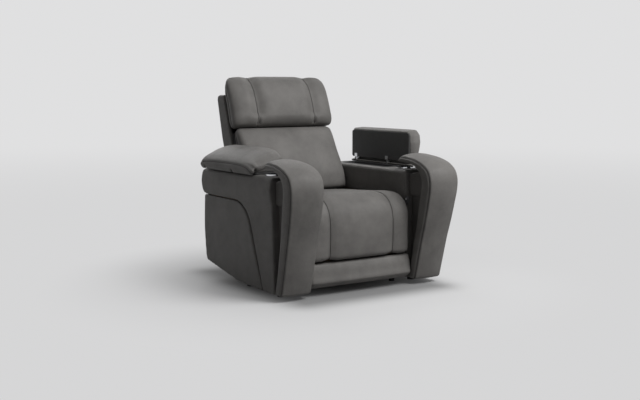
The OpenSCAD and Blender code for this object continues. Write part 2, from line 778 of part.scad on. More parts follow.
side_plate_margin = 17;
side_plate_low_z = arm_bolt_z - side_plate_margin;
spacer_r = 12;
module side_plates() color(black_steel) {
  both_sides() difference() {
    union() {
      slab2d(plate_x0, plate_x1) {
        bar2d(foot_pivot, [rail_y0 + boss_r, rail_low_z + boss_r], boss_r);
        bar2d([rail_y1 - 2 * boss_r, rail_low_z + boss_r], back_pivot, boss_r);
        translate([rail_y0, side_plate_low_z]) square([rail_y1 - rail_y0, rail_top_z - side_plate_low_z]);
      }
      for (y = arm_bolt_ys) rod_x([y, arm_bolt_z], spacer_r, plate_x0, x_in);
    }
    arm_bolt_holes(plate_x0 - over, x_in + over);
    for (p = [foot_pivot, back_pivot]) rod_x(p, pivot_r + run, plate_x0 - over, plate_x1 + over);
  }
}

bolt_head_t = 4;
module pivot_bolts() color(zinc) {
  both_sides() {
    rod_x(foot_pivot, pivot_r, bracket_x0 - over, plate_x1);
    rod_x(back_pivot, pivot_r, back_tube_x0, plate_x1);
    for (p = [foot_pivot, back_pivot]) rod_x(p, pivot_r * 3 / 2, plate_x1, plate_x1 + bolt_head_t);
  }
}

nut_t = 6.5;
module arm_bolts() color(zinc) {
  both_sides() for (y = arm_bolt_ys) {
    rod_x([y, arm_bolt_z], arm_bolt_r, plate_x0, ply_x0 + ply_t + nut_t);
    translate([plate_x0 - nut_t, y, arm_bolt_z]) rotate([0, 90, 0]) cylinder(h = nut_t,
      r = 2 * arm_bolt_r, $fn = 6);
    translate([ply_x0 + ply_t, y, arm_bolt_z]) rotate([0, 90, 0]) cylinder(h = nut_t, r = 2 * arm_bolt_r,
      $fn = 6);
  }
}

module seat_deck() color(plywood) {
  difference() {
    block([-rail_x0 - rail_w / 2, deck_y0, rail_top_z], [rail_x0 + rail_w / 2, deck_y1, deck_z]);
    block([-rail_x0 + deck_rail / 2, deck_y0 + deck_rail, rail_top_z - over],
      [rail_x0 - deck_rail / 2, deck_y1 - deck_rail, deck_z + over]);
  }
}

spring_wire = 4;
spring_pitch = 24;
spring_half = 22;
spring_count = 5;
module zigzag2d(length) {
  loops = floor(length / spring_pitch / 2) * 2;
  step = length / loops;
  for (i = [0:loops]) translate([-spring_half, i * step - spring_wire / 2]) square([2 * spring_half,
    spring_wire]);
  for (i = [0:loops - 1]) translate([i % 2 == 0 ? spring_half : -spring_half, (i + 0.5) * step])
    intersection() {
      difference() {
        circle(r = step / 2 + spring_wire / 2, $fn = 32);
        circle(r = step / 2 - spring_wire / 2, $fn = 32);
      }
      translate([i % 2 == 0 ? 0 : -step, -step]) square([step, 2 * step]);
    }
}
module seat_springs() color(zinc) {
  spring_y0 = deck_y0 + deck_rail;
  spring_len = deck_y1 - deck_y0 - 2 * deck_rail;
  pitch = 2 * (rail_x0 - deck_rail / 2) / spring_count;
  for (i = [0:spring_count - 1])
    translate([(i - (spring_count - 1) / 2) * pitch, spring_y0 + spring_wire / 2, deck_z - 2 * spring_wire])
      linear_extrude(spring_wire) zigzag2d(spring_len - spring_wire);
}

module seat_cushion() color(leather) {
  form(seat_stations, seat_section_shares);
}

motor_x0 = 60;
motor_w = 56;
motor_half = 38;
module footrest_motor() color(black_plastic) {
  foot_y = cross_ys[1];
  difference() {
    union() {
      slab(rounded([
        [drive_tube_y - motor_half, drive_tube_z - motor_half, small_r],
        [drive_tube_y - motor_half, drive_tube_z + motor_half, small_r],
        [drive_tube_y + motor_half, drive_tube_z + motor_half, small_r],
        [foot_y + upright_w, runner_z + runner_h + upright_w, small_r],
        [foot_y + upright_w, runner_z + runner_h, 0], [foot_y, runner_z + runner_h, 0],
        [foot_y, runner_z + runner_h + upright_w, small_r]
      ]), motor_x0, motor_x0 + motor_w);
      rod_x([drive_tube_y, drive_tube_z - 2 * motor_half + small_r], motor_half * 3 / 4,
        motor_x0 - motor_w / 2, motor_x0 + motor_w);
    }
    rod_x([drive_tube_y, drive_tube_z], drive_tube_r + run, motor_x0 - over, motor_x0 + motor_w + over);
  }
}

housing_r = 18;
housing_y0 = 190;
housing_y1 = 430;
rod_r = 9;
can_r = 26;
gear_len = 24;
hanger_front = 20;
hanger_back = 10;
hanger_plate_in = 4;
rod_inside = 90;
module recline_motor() color(black_plastic) {
  difference() {
    union() {
      rod_y(0, rod_z, housing_r, housing_y0, housing_y1);
      translate([0, housing_y0 + can_r, rod_z - 2 * can_r - runner_h]) cylinder(h = 2 * can_r + runner_h,
        r = can_r, $fn = fine);
      slab([
        [housing_y0 - hanger_front, rail_top_z], [housing_y0 - hanger_front, rod_z],
          [housing_y0 + hanger_back, rod_z],
        [housing_y0 + hanger_back, rod_z + hanger_back], [housing_y0 - hanger_front + rail_h / 2, rail_top_z]
      ], -housing_r / 2, housing_r / 2);
      block([-rail_w, deck_y0 + hanger_plate_in, rail_top_z - leaf_t], [rail_w, deck_y0 + deck_rail,
        rail_top_z]);
    }
    rod_y(0, rod_z, rod_r + run, housing_y0 + can_r + gear_len, housing_y1 + over);
  }
}

lever_t = 11;
ear_gap = 2;
ear_t = 5;
ear_half = 12;
yoke_t = 16;
yoke_back = 40;
yoke_y = rod_end_y - yoke_back;
recline_lever_r = 14;
module recline_rod() color(zinc) {
  rod_y(0, rod_z, rod_r, housing_y1 - rod_inside, yoke_y + over);
  ear_x = lever_t / 2 + ear_gap;
  block([-ear_x - ear_t, yoke_y, rod_z - ear_half], [ear_x + ear_t, yoke_y + yoke_t, rod_z + ear_half]);
  both_sides() difference() {
    slab2d(ear_x, ear_x + ear_t) bar2d([yoke_y + yoke_t - over, rod_z], [rod_end_y, rod_z], ear_half);
    rod_x([rod_end_y, rod_z], link_pin_r + open_pivot, ear_x - over, ear_x + ear_t + over);
  }
}

inlet_x = 120;
inlet_w = 50;
inlet_h = 34;
socket_w = 20;
socket_h = 14;
socket_deep = 16;
module power_inlet() color(black_plastic) {
  inlet_y = cross_ys[2];
  difference() {
    block([inlet_x, inlet_y, runner_z + runner_h], [inlet_x + inlet_w, inlet_y + upright_w,
      runner_z + runner_h + inlet_h]);
    block([inlet_x + (inlet_w - socket_w) / 2, inlet_y + upright_w - socket_deep,
      runner_z + runner_h + (inlet_h - socket_h) / 2],
      [inlet_x + (inlet_w + socket_w) / 2, inlet_y + upright_w + over,
        runner_z + runner_h + (inlet_h + socket_h) / 2]);
  }
}

// Control panel, in right-hand places and then mirrored to the left arm
button_row = [-1.5, -0.5, 0.5, 1.5];
function button_place(i) = [panel_y + button_row[i] * button_pitch, panel_z];
module panel_shape(grow, x0, x1) {
  translate([x0, panel_y - panel_len / 2 - grow, panel_z - panel_h / 2 - grow]) rotate([90, 0, 90])
    linear_extrude(x1 - x0) round_rect2d(panel_len + 2 * grow, panel_h + 2 * grow, panel_h / 3 + grow);
}
module control_panel() color(black_plastic) {
  left() difference() {
    union() {
      panel_shape(panel_t, x_in - panel_t, x_in);
      panel_shape(0, x_in - panel_t, x_in + panel_deep);
    }
    panel_shape(-panel_t, x_in + panel_t, x_in + panel_deep - panel_t);
    for (i = [0:3]) rod_x(button_place(i), button_r + run, x_in - panel_t - over, x_in + panel_t + over);
  }
}
module button(i) color(zinc) {
  left() {
    rod_x(button_place(i), button_r, x_in - panel_t - button_proud, x_in + panel_t + button_in);
    rod_x(button_place(i), button_r / 2, x_in, x_in + panel_deep - 2 * panel_t);
  }
}

// Places a plate of the back's own u-v plane between two places in X
module back_slab(x0, x1) {
  translate([0, back_y, back_z]) rotate([-back_lean, 0, 0]) translate([x0, 0, 0]) rotate([90, 0, 90])
    linear_extrude(x1 - x0) children();
}
module back_block(a, b) {
  translate([0, back_y, back_z]) rotate([-back_lean, 0, 0]) block(a, b);
}

back_tube_top = 335;
back_tube_low = -92;
cross_vs = [20, 150, 310];
module back_frame() color(black_steel) {
  both_sides() difference() {
    union() {
      back_block([back_tube_x0, over, back_tube_low], [back_tube_x0 + back_tube_w, back_tube,
        back_tube_top]);
      rod_x(back_pivot, boss_r, back_tube_x0 + over, plate_x0 - boss_gap);
      slab2d(back_tube_x0, back_tube_x0 + back_tube_w) bar2d(back_pivot, back_point(back_tube / 2, 0),
        boss_r * 2 / 3);
      back_slab(head_lug_x0, head_lug_x0 + head_plate_t)
        bar2d([back_tube / 2, cross_vs[2] + back_tube / 2], head_bar, head_lug_r);
    }
    rod_x(back_pivot, pivot_r + run, back_tube_x0 - over, plate_x0 + over);
    rod_x(back_point(head_bar[0], head_bar[1]), head_bar_r + run, head_plate_x0, bar_half + over);
  }
  rod_x(back_pivot, housing_r * 2 / 3, -back_tube_x0, back_tube_x0);
  for (v = cross_vs) back_block([-back_tube_x0, over, v], [back_tube_x0, back_tube, v + back_tube]);
  slab2d(-lever_t / 2, lever_t / 2) bar2d(back_pivot, [rod_end_y, rod_z], recline_lever_r);
}

strap_flat = 1.4;
web_w = 46;
web_pitch = 88;
module back_webbing() color(black_plastic) {
  for (i = [-2:2])
    back_block([i * web_pitch - web_w / 2, over - strap_flat, cross_vs[0]],
      [i * web_pitch + web_w / 2, over, cross_vs[2] + back_tube]);
}

shell_u = 12;
shell_depth = 146;
shell_low_v = -222;
shell_top_v = 586;
// Corners from the foot of the open front, round the rear: depth, height and corner radius
shell_shares = [[0, 0.267, 0.25], [0, 0.962, 0.087], [0.556, 1, 0.225], [1, 0.036, 0.19], [0.5, 0, 0.06]];
shell_rows = [
  for (q = shell_shares)
    [shell_u + q[0] * shell_depth, shell_low_v + q[1] * (shell_top_v - shell_low_v), q[2] * shell_depth]
];
shell_edge_r = 14;
shell_inner_rs = [26, 20];
function shell_line(inset) = [
  for (s = shell_rows) let (p = back_point(s[0], s[1])) [p[0], p[1], s[2]]
];
module back_shell() color(leather) {
  lean_rear = atan2(shell_rows[3][0] - shell_rows[2][0], shell_rows[2][1] - shell_rows[3][1]);
  pull = shell_wall;
  inner = [
    [shell_rows[0][0] - 3 * pull, shell_rows[0][1], 0], [shell_rows[1][0] - 3 * pull,
      shell_rows[1][1] - 2 * pull, 0],
    [shell_rows[2][0] - pull, shell_rows[2][1] - pull - pull / 3, shell_inner_rs[0]],
    [shell_rows[3][0] - pull, shell_rows[3][1] + pull, shell_inner_rs[1]], [shell_rows[4][0],
      shell_rows[4][1] + pull, 0],
    [shell_rows[4][0] - 3 * pull, shell_rows[4][1] + pull, 0]
  ];
  difference() {
    intersection() {
      slab(rounded(shell_line(0)), -shell_w / 2, shell_w / 2);
      translate([0, back_y, back_z]) rotate([-back_lean, 0, 0]) translate([0, shell_rows[2][0],
        shell_rows[2][1]])
        rotate([lean_rear, 0, 0]) translate([-shell_w / 2, -shell_w, -shell_w * 2])
        linear_extrude(shell_w * 3) round_rect2d(shell_w, shell_w, shell_edge_r);
    }
    back_slab(-shell_w / 2 + shell_wall, shell_w / 2 - shell_wall) polygon(rounded(inner));
  }
}

head_board_t = 10;
head_board_in = 46;
head_board_v = 390;
head_board_h = 195;
headrest_low_v = headrest_v - headrest_crown;
head_plate_v = head_board_v + 2 * head_lug_r;
module head_slot_cut(x0, u, v0, v1) {
  back_block([x0 - head_slot, u, v0], [x0 + head_plate_t + head_slot, over, v1]);
}
module back_cushion() color(leather) {
  difference() {
    form(back_stations(lumbar_shares, lumbar_t, lumbar_v, lumbar_h, lumbar_w / 2, lumbar_crown),
      plain_section_shares);
    both_sides() head_slot_cut(head_lug_x0, -lumbar_t / 2, back_tube_top - back_tube * 2, head_bar[1]);
  }
}

module headrest_bar() color(zinc) {
  rod_x(back_point(head_bar[0], head_bar[1]), head_bar_r, -bar_half, bar_half);
}

module headrest_board() color(plywood) {
  back_block([-headrest_x + head_board_in, fit, head_board_v], [headrest_x - head_board_in, head_board_t,
    head_board_v + head_board_h]);
  both_sides() difference() {
    back_slab(head_plate_x0, head_plate_x0 + head_plate_t)
      bar2d([head_board_t / 2, head_board_v + head_lug_r / 2], head_bar, head_lug_r);
    rod_x(back_point(head_bar[0], head_bar[1]), head_bar_r + run, head_plate_x0 - over,
      head_plate_x0 + head_plate_t + over);
  }
}

module headrest_cushion() color(leather) {
  difference() {
    form(back_stations(headrest_shares, headrest_t, headrest_v, headrest_h, headrest_x, headrest_crown),
      headrest_section_shares);
    rod_x(back_point(head_bar[0], head_bar[1]), head_bar_r + over / 4, -bar_half - over, bar_half + over);
    both_sides() {
      head_slot_cut(head_plate_x0, head_bar[0] - head_lug_r - over, headrest_low_v, head_plate_v);
      head_slot_cut(head_lug_x0, head_bar[0] - head_lug_r - over, headrest_low_v,
        head_bar[1] + head_lug_r + over);
    }
  }
}

module footrest_board() color(plywood) {
  block([-bracket_x0, footboard_y, footboard_z0], [bracket_x0, footboard_y + footboard_t, footboard_z1]);
}

module footrest_brackets() color(black_steel) {
  both_sides() {
    difference() {
      slab2d(bracket_x0, bracket_x0 + bracket_t) {
        bar2d(foot_pivot, [footboard_y + footboard_t, footboard_z1 - 2 * link_r], link_r);
        translate([footboard_y, footboard_z1 - bracket_h]) square([2 * link_r, bracket_h]);
      }
      rod_x(foot_pivot, pivot_r + run, bracket_x0 - over, bracket_x0 + bracket_t + over);
    }
    difference() {
      slab2d(crank_x0, crank_x0 + crank_t) {
        bar2d([footboard_y + footboard_t + link_r, lever_end[1]], lever_end, link_r);
        translate([footboard_y + footboard_t, lever_end[1] - crank_foot]) square([2 * link_r,
          crank_foot + link_r]);
      }
      rod_x(lever_end, link_pin_r + open_pivot, crank_x0 - over, crank_x0 + crank_t + over);
    }
  }
}

module footrest_cushion() color(leather) {
  form(footrest_stations, seat_section_shares);
}

module footrest_lower_pad() color(leather) {
  form(strip_stations, plain_section_shares);
}

module drive_tube() color(black_steel) {
  tube_end = rail_x0 + rail_w / 2 - tube_gap;
  rod_x([drive_tube_y, drive_tube_z], drive_tube_r, -tube_end, tube_end);
  both_sides() {
    slab2d(crank_x0, crank_x0 + crank_t) bar2d([drive_tube_y, drive_tube_z], crank_end, link_r);
    rod_x(crank_end, link_pin_r, link_x1 - link_t - over, crank_x0);
  }
}

module drive_links() color(black_steel) {
  both_sides() {
    difference() {
      slab2d(link_x1 - link_t, link_x1) bar2d(crank_end, lever_end, link_r);
      rod_x(crank_end, link_pin_r + run, link_x1 - link_t - over, link_x1 + over);
    }
    rod_x(lever_end, link_pin_r, link_x1, crank_x0 + crank_t + over);
  }
}

framed() base_frame();
framed() base_feet();
framed() arm_feet();
framed() side_plates();
framed() pivot_bolts();
framed() arm_bolts();
framed() seat_deck();
framed() seat_springs();
framed() seat_cushion();
framed() footrest_motor();
framed() recline_motor();
framed() power_inlet();
framed() control_panel();
framed() left() arm_frame();  // left_arm_frame
framed() arm_frame();  // right_arm_frame
framed() left_shoulder();
framed() shoulder();  // right_shoulder
framed() left() lower_cover();  // left_lower_cover
framed() lower_cover();  // right_lower_cover
framed() left() neck();  // left_neck
framed() neck();  // right_neck
framed() left() front_band();  // left_front_band
framed() front_band();  // right_front_band
framed() left() bin();  // left_bin
framed() bin();  // right_bin
framed() left() cup();  // left_cup
framed() cup();  // right_cup
framed() left() cup_ring();  // left_cup_ring
framed() cup_ring();  // right_cup_ring
framed() left() hinge_leaf();  // left_hinge_leaf
framed() hinge_leaf();  // right_hinge_leaf
framed() left() lid_board();  // left_lid_board
framed() lid_turned(right_lid_open) lid_board();  // right_lid_board
framed() left() lid_pad();  // left_lid_pad
framed() lid_turned(right_lid_open) lid_pad();  // right_lid_pad
framed() left() lid_strap();  // left_lid_strap
framed() lid_turned(right_lid_open) lid_strap();  // right_lid_strap
framed() back_frame();
framed() back_webbing();
framed() back_shell();
framed() back_cushion();
framed() headrest_bar();
framed() headrest_board();
framed() headrest_cushion();
framed() footrest_board();
framed() footrest_brackets();
framed() footrest_cushion();
framed() footrest_lower_pad();
framed() drive_tube();
framed() drive_links();
framed() recline_rod();
framed() button(0);  // recline_button
framed() button(1);  // upright_button
framed() button(2);  // legs_up_button
framed() button(3);  // legs_down_button
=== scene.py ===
"""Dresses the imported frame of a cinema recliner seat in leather, thread, metal and wood."""

import logging
import math
from dataclasses import dataclass, field
from enum import Enum
from typing import Callable, Iterable, Sequence

import bmesh
import bpy
import numpy as np
from bpy.types import ID, Material, Mesh, Node, NodeTree, Object, ShaderNodeTree
from mathutils import Matrix, Vector
from mathutils.bvhtree import BVHTree
from mathutils.kdtree import KDTree


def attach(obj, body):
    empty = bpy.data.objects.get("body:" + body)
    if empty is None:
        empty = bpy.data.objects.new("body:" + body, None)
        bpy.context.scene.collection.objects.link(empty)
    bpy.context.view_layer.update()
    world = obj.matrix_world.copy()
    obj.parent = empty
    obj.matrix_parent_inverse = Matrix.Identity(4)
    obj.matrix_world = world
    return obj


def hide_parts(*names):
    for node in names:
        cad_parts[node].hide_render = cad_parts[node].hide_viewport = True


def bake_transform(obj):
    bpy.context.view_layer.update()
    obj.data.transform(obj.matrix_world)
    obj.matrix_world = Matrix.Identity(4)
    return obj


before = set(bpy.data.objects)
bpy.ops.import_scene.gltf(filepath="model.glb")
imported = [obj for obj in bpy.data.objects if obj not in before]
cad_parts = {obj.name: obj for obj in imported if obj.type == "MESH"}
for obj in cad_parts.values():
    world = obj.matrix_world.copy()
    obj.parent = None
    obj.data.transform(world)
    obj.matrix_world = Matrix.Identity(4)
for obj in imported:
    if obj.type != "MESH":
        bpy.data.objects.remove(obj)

LOG = logging.getLogger("cinema_recliner")

# The frame's origin lies this far behind the front bands' feet
ORIGIN_Y = 0.420

# Sizes that follow the frame's own, in metres
ARM_MID = 0.395
FLOOR_GAP = 0.026
BAND_REACH = 0.110
BAND_RISE = 0.619
BAND_WIDTH = 0.172
BAND_CROWN = 0.016
CUSHION_HALF = 0.294
SEAT_FRONT_Z = 0.471
SEAT_THICK = 0.121
SEAT_ROLL = 0.120
SEAT_CROWN = 0.014
SEAT_DROP = 0.036
PIVOT_THICK = 0.084
FOOTREST_THICK = 0.078
SEAT_FACE_Y = 0.014
SEAT_REAR_Y = 0.600
DECK_Z = 0.350
STRIP_TOP = 0.157
STRIP_HALF = 0.306
STRIP_REAR_Y = 0.0935
FOOTREST_LOW = 0.164
STRIP_LOW = 0.041
BACK_Y = 0.690
BACK_Z = 0.440
BACK_LEAN = math.radians(20)

# A thread's pitch and thickness, half a stitch's length as a share of its pitch, and how high a stitch
# stands as a share of its thickness
STITCH_PITCH = 0.006
STITCH_THICK = 0.0007
STITCH_REACH = 0.36
STITCH_LIFT = 0.3

# The sides of a cord, and its pitch as a share of its radius
TUBE_SIDES = 8
CORD_PITCH = 2.5

Row = Sequence[float]
Grid = np.ndarray
Colour = tuple[float, float, float]
Pin = tuple[Node, str | int]
Link = tuple[Node, str | int, Node, str | int]


class Side(Enum):
    """The two sides of the seat, as a viewer in front of it sees them."""

    LEFT = -1
    RIGHT = 1

    @property
    def word(self) -> str:
        """The side's name as it stands in the names of pieces."""
        return self.name.lower()


def both_sides(*words: str) -> tuple[str, ...]:
    """The names of pieces that stand on either side."""
    return tuple(f"{side.word}_{word}" for word in words for side in Side)


def add_node(tree: NodeTree, kind: str, inputs: dict[int, object] | None = None, **values: object) -> Node:
    """Adds a shader node and sets its properties and its plain input values.

    Args:
        tree: The tree that gets the node.
        kind: The node's type name, without the words that they all start with.
        inputs: Input values by number, for inputs that share a name.
        values: Properties by name, or inputs by name with spaces as underscores.

    Returns:
        The new node.
    """
    node = tree.nodes.new("ShaderNode" + kind)
    for key, value in values.items():
        if hasattr(node, key):
            setattr(node, key, value)
        else:
            node.inputs[key.replace("_", " ")].default_value = value
    for number, value in (inputs or {}).items():
        node.inputs[number].default_value = value
    return node


def wire(tree: NodeTree, *links: Link) -> None:
    """Links nodes of a tree, each link a node, its output, the next node and its input."""
    for source, output, target, entry in links:
        tree.links.new(source.outputs[output], target.inputs[entry])


def new_group(
    name: str, inputs: dict[str, float], outputs: Iterable[str],
) -> tuple[ShaderNodeTree, Node, Node, Node]:
    """Starts a shader node group with plain number inputs and number outputs.

    Args:
        name: The group's name.
        inputs: Input names with their default values.
        outputs: Output names.

    Returns:
        The group, its input node, its output node and its node of object coordinates.
    """
    group = bpy.data.node_groups.new(name, "ShaderNodeTree")
    for key, value in inputs.items():
        socket = group.interface.new_socket(name=key, in_out="INPUT", socket_type="NodeSocketFloat")
        socket.default_value = value
    for key in outputs:
        group.interface.new_socket(name=key, in_out="OUTPUT", socket_type="NodeSocketFloat")
    ends = group.nodes.new("NodeGroupInput"), group.nodes.new("NodeGroupOutput")
    return group, *ends, add_node(group, "TexCoord")


class Pattern(Enum):
    """What the fine relief of a finish is."""

    HIDE = "hide"
    CAST = "cast"
    FIBRE = "fibre"
    WEAVE = "weave"


class ShaderGroups:
    """The effects that several finishes share, each built once."""

    def __init__(self) -> None:
        """Builds the group of rubbed edges and painted hollow shade, the mottling group, and a relief group
        for each pattern.
        """
        self.wear = self._wear()
        self.mottle = self._mottle()
        self.relief = {
            Pattern.HIDE: self._grain(), Pattern.FIBRE: self._wood(), Pattern.WEAVE: self._weave(),
        }

    @staticmethod
    def _grain() -> ShaderNodeTree:
        """Pebbled hide: small cells with soft creases between them.

        Returns:
            The group, with the outputs Height and Mask.
        """
        group, inside, outside, place = new_group(
            "hide_grain", {"Scale": 700.0, "Creases": 55.0}, ("Height", "Mask"),
        )
        warp = add_node(group, "TexNoise", Scale=90.0, Detail=2.0)
        push = add_node(group, "VectorMath", {1: (0.0012, 0.0012, 0.0012)}, operation="MULTIPLY_ADD")
        cells = add_node(group, "TexVoronoi", feature="DISTANCE_TO_EDGE")
        edge = add_node(group, "MapRange", From_Min=0.0, From_Max=0.22)
        folds = add_node(group, "TexNoise", Detail=4.0, Roughness=0.62)
        mix = add_node(group, "Math", {1: 0.35}, operation="MULTIPLY_ADD")
        wire(
            group,
            (place, "Object", warp, "Vector"), (warp, "Color", push, 0), (place, "Object", push, 2),
            (push, "Vector", cells, "Vector"), (inside, "Scale", cells, "Scale"),
            (cells, "Distance", edge, "Value"), (place, "Object", folds, "Vector"),
            (inside, "Creases", folds, "Scale"), (folds, "Fac", mix, 0), (edge, "Result", mix, 2),
            (mix, "Value", outside, "Height"), (edge, "Result", outside, "Mask"),
        )
        return group

    @staticmethod
    def _wear() -> ShaderNodeTree:
        """Rubbed edges, and painted shade in the hollows, from how sharply the surface bends.

        Returns:
            The group, with the outputs Edge and Hollow.
        """
        group, inside, outside, place = new_group("edge_wear", {"Breakup": 40.0}, ("Edge", "Hollow"))
        bend = add_node(group, "NewGeometry")
        noise = add_node(group, "TexNoise", Detail=5.0)
        high = add_node(group, "MapRange", From_Min=0.515, From_Max=0.58)
        # Painted shade: this mask is high where the surface bends inwards, at creases and seams
        low = add_node(group, "MapRange", From_Min=0.49, From_Max=0.43)
        broken = add_node(group, "Math", operation="MULTIPLY")
        wire(
            group,
            (place, "Object", noise, "Vector"), (inside, "Breakup", noise, "Scale"),
            (bend, "Pointiness", high, "Value"), (bend, "Pointiness", low, "Value"),
            (high, "Result", broken, 0), (noise, "Fac", broken, 1), (broken, "Value", outside, "Edge"),
            (low, "Result", outside, "Hollow"),
        )
        return group

    @staticmethod
    def _mottle() -> ShaderNodeTree:
        """Slow changes of tone over a surface.

        Returns:
            The group, with the output Cloud.
        """
        group, inside, outside, place = new_group("mottling", {"Scale": 6.0}, ("Cloud",))
        noise = add_node(group, "TexNoise", Detail=8.0, Roughness=0.68)
        spread = add_node(group, "MapRange", From_Min=0.32, From_Max=0.68)
        wire(
            group,
            (place, "Object", noise, "Vector"), (inside, "Scale", noise, "Scale"),
            (noise, "Fac", spread, "Value"), (spread, "Result", outside, "Cloud"),
        )
        return group

    @staticmethod
    def _wood() -> ShaderNodeTree:
        """Long fibres of a plywood face.

        Returns:
            The group, with the outputs Height and Mask.
        """
        group, inside, outside, place = new_group("plywood_fibre", {"Scale": 9.0}, ("Height", "Mask"))
        stretch = add_node(group, "Mapping", Scale=(7.0, 0.6, 7.0))
        wave = add_node(group, "TexNoise", Detail=8.0, Roughness=0.6, Distortion=0.6)
        fine = add_node(group, "TexNoise", Scale=160.0, Detail=3.0)
        mix = add_node(group, "Math", {1: 0.3}, operation="MULTIPLY_ADD")
        wire(
            group,
            (place, "Object", stretch, "Vector"), (stretch, "Vector", wave, "Vector"),
            (stretch, "Vector", fine, "Vector"), (inside, "Scale", wave, "Scale"), (fine, "Fac", mix, 0),
            (wave, "Fac", mix, 2), (wave, "Fac", outside, "Mask"), (mix, "Value", outside, "Height"),
        )
        return group

    @staticmethod
    def _weave() -> ShaderNodeTree:
        """Crossed threads of a woven band.

        Returns:
            The group, with the outputs Height and Mask.
        """
        group, inside, outside, place = new_group("band_weave", {"Scale": 260.0}, ("Height", "Mask"))
        cross = add_node(group, "Math", operation="MULTIPLY")
        for entry, direction in enumerate(("X", "Z")):
            wave = add_node(group, "TexWave", wave_type="BANDS", bands_direction=direction)
            wire(
                group,
                (place, "Object", wave, "Vector"), (inside, "Scale", wave, "Scale"),
                (wave, "Fac", cross, entry),
            )
        wire(group, (cross, "Value", outside, "Height"), (cross, "Value", outside, "Mask"))
        return group


@dataclass(frozen=True)
class Finish:
    """One finish of the seat, and how its material is made.

    The two tones are linear colours, between which the surface changes slowly.
    """

    # How far each pattern's mask dims the tone
    DIMMING = {
        Pattern.HIDE: {"To_Min": 0.82, "To_Max": 1.0},
        Pattern.FIBRE: {"From_Min": 0.3, "From_Max": 0.7, "To_Min": 0.68, "To_Max": 1.08},
        Pattern.WEAVE: {"To_Min": 0.6, "To_Max": 1.15},
    }
    COAT_ROUGHNESS = 0.25
    SHEEN_ROUGHNESS = 0.5
    HOLLOW_SHADE = 0.3

    name: str
    slot: str
    dark: Colour
    light: Colour
    pattern: Pattern = Pattern.CAST
    roughness: float = 0.5
    roughness_spread: float = 0.08
    metallic: float = 0.0
    specular: float = 0.5
    coat: float = 0.0
    sheen: float = 0.0
    grain_scale: float = 700.0
    relief: float = 0.35
    relief_depth: float = 0.0006
    edge_tone: Colour = (0.3, 0.3, 0.3)
    edge_share: float = 0.3
    hollow_share: float = 0.5

    def build(self, groups: ShaderGroups) -> Material:
        """Makes the material.

        Args:
            groups: The shared shader groups.

        Returns:
            The material, with the finish's name.
        """
        material = bpy.data.materials.new(self.name)
        material.use_nodes = True
        tree = material.node_tree
        shader = tree.nodes["Principled BSDF"]
        for key, value in (
            ("Metallic", self.metallic), ("Specular IOR Level", self.specular),
            ("Coat Weight", self.coat), ("Coat Roughness", self.COAT_ROUGHNESS),
            ("Sheen Weight", self.sheen), ("Sheen Roughness", self.SHEEN_ROUGHNESS),
        ):
            shader.inputs[key].default_value = value
        mottle = add_node(tree, "Group", node_tree=groups.mottle, Scale=5.0)
        wear = add_node(tree, "Group", node_tree=groups.wear, Breakup=35.0)
        tone = self._mix(tree, (mottle, "Cloud"), self.dark, self.light)
        height, tone = self._relief(tree, groups, tone)
        # Painted shade: creases and seams are darkened towards a share of the dark tone
        hollow = self._share(tree, (wear, "Hollow"), self.hollow_share)
        tone = self._mix(tree, hollow, tone, tuple(c * self.HOLLOW_SHADE for c in self.dark))
        edge = self._share(tree, (wear, "Edge"), self.edge_share)
        tone = self._mix(tree, edge, tone, self.edge_tone)
        rough = add_node(
            tree, "MapRange", To_Min=self.roughness - self.roughness_spread,
            To_Max=self.roughness + self.roughness_spread,
        )
        bump = add_node(tree, "Bump", Strength=self.relief, Distance=self.relief_depth)
        wire(
            tree,
            (*tone, shader, "Base Color"), (*height, rough, "Value"), (rough, "Result", shader, "Roughness"),
            (*height, bump, "Height"), (bump, "Normal", shader, "Normal"),
        )
        return material

    def _relief(self, tree: NodeTree, groups: ShaderGroups, tone: Pin) -> tuple[Pin, Pin]:
        """Adds the fine relief and tints the tone with it.

        Args:
            tree: The material's tree.
            groups: The shared shader groups.
            tone: The colour so far.

        Returns:
            The height and the new colour.
        """
        if self.pattern is Pattern.CAST:
            speck = add_node(tree, "TexNoise", Scale=self.grain_scale, Detail=3.0)
            wire(tree, (add_node(tree, "TexCoord"), "Object", speck, "Vector"))
            return (speck, "Fac"), tone
        group = add_node(tree, "Group", node_tree=groups.relief[self.pattern], Scale=self.grain_scale)
        shade = add_node(tree, "MapRange", **self.DIMMING[self.pattern])
        dimmed = add_node(tree, "VectorMath", operation="SCALE")
        wire(tree, (group, "Mask", shade, "Value"), (*tone, dimmed, 0), (shade, "Result", dimmed, "Scale"))
        return (group, "Height"), (dimmed, "Vector")

    @staticmethod
    def _mix(tree: NodeTree, share: Pin, *colours: Pin | Colour) -> Pin:
        """Mixes two colours, each a plain colour or a node's output, by the second one's share.

        Args:
            tree: The material's tree.
            share: The output that gives the second colour's share.
            colours: The first and the second colour.

        Returns:
            The mixed colour.
        """
        node = add_node(tree, "Mix", data_type="RGBA")
        wire(tree, (*share, node, "Factor"))
        for entry, colour in enumerate(colours, 6):
            if len(colour) == 3:
                node.inputs[entry].default_value = (*colour, 1.0)
            else:
                wire(tree, (*colour, node, entry))
        return node, 2

    @staticmethod
    def _share(tree: NodeTree, value: Pin, share: float) -> Pin:
        """Multiplies a mask by a plain share.

        Args:
            tree: The material's tree.
            value: The mask.
            share: The share.

        Returns:
            The weaker mask.
        """
        node = add_node(tree, "Math", {1: share}, operation="MULTIPLY")
        wire(tree, (*value, node, 0))
        return node, "Value"


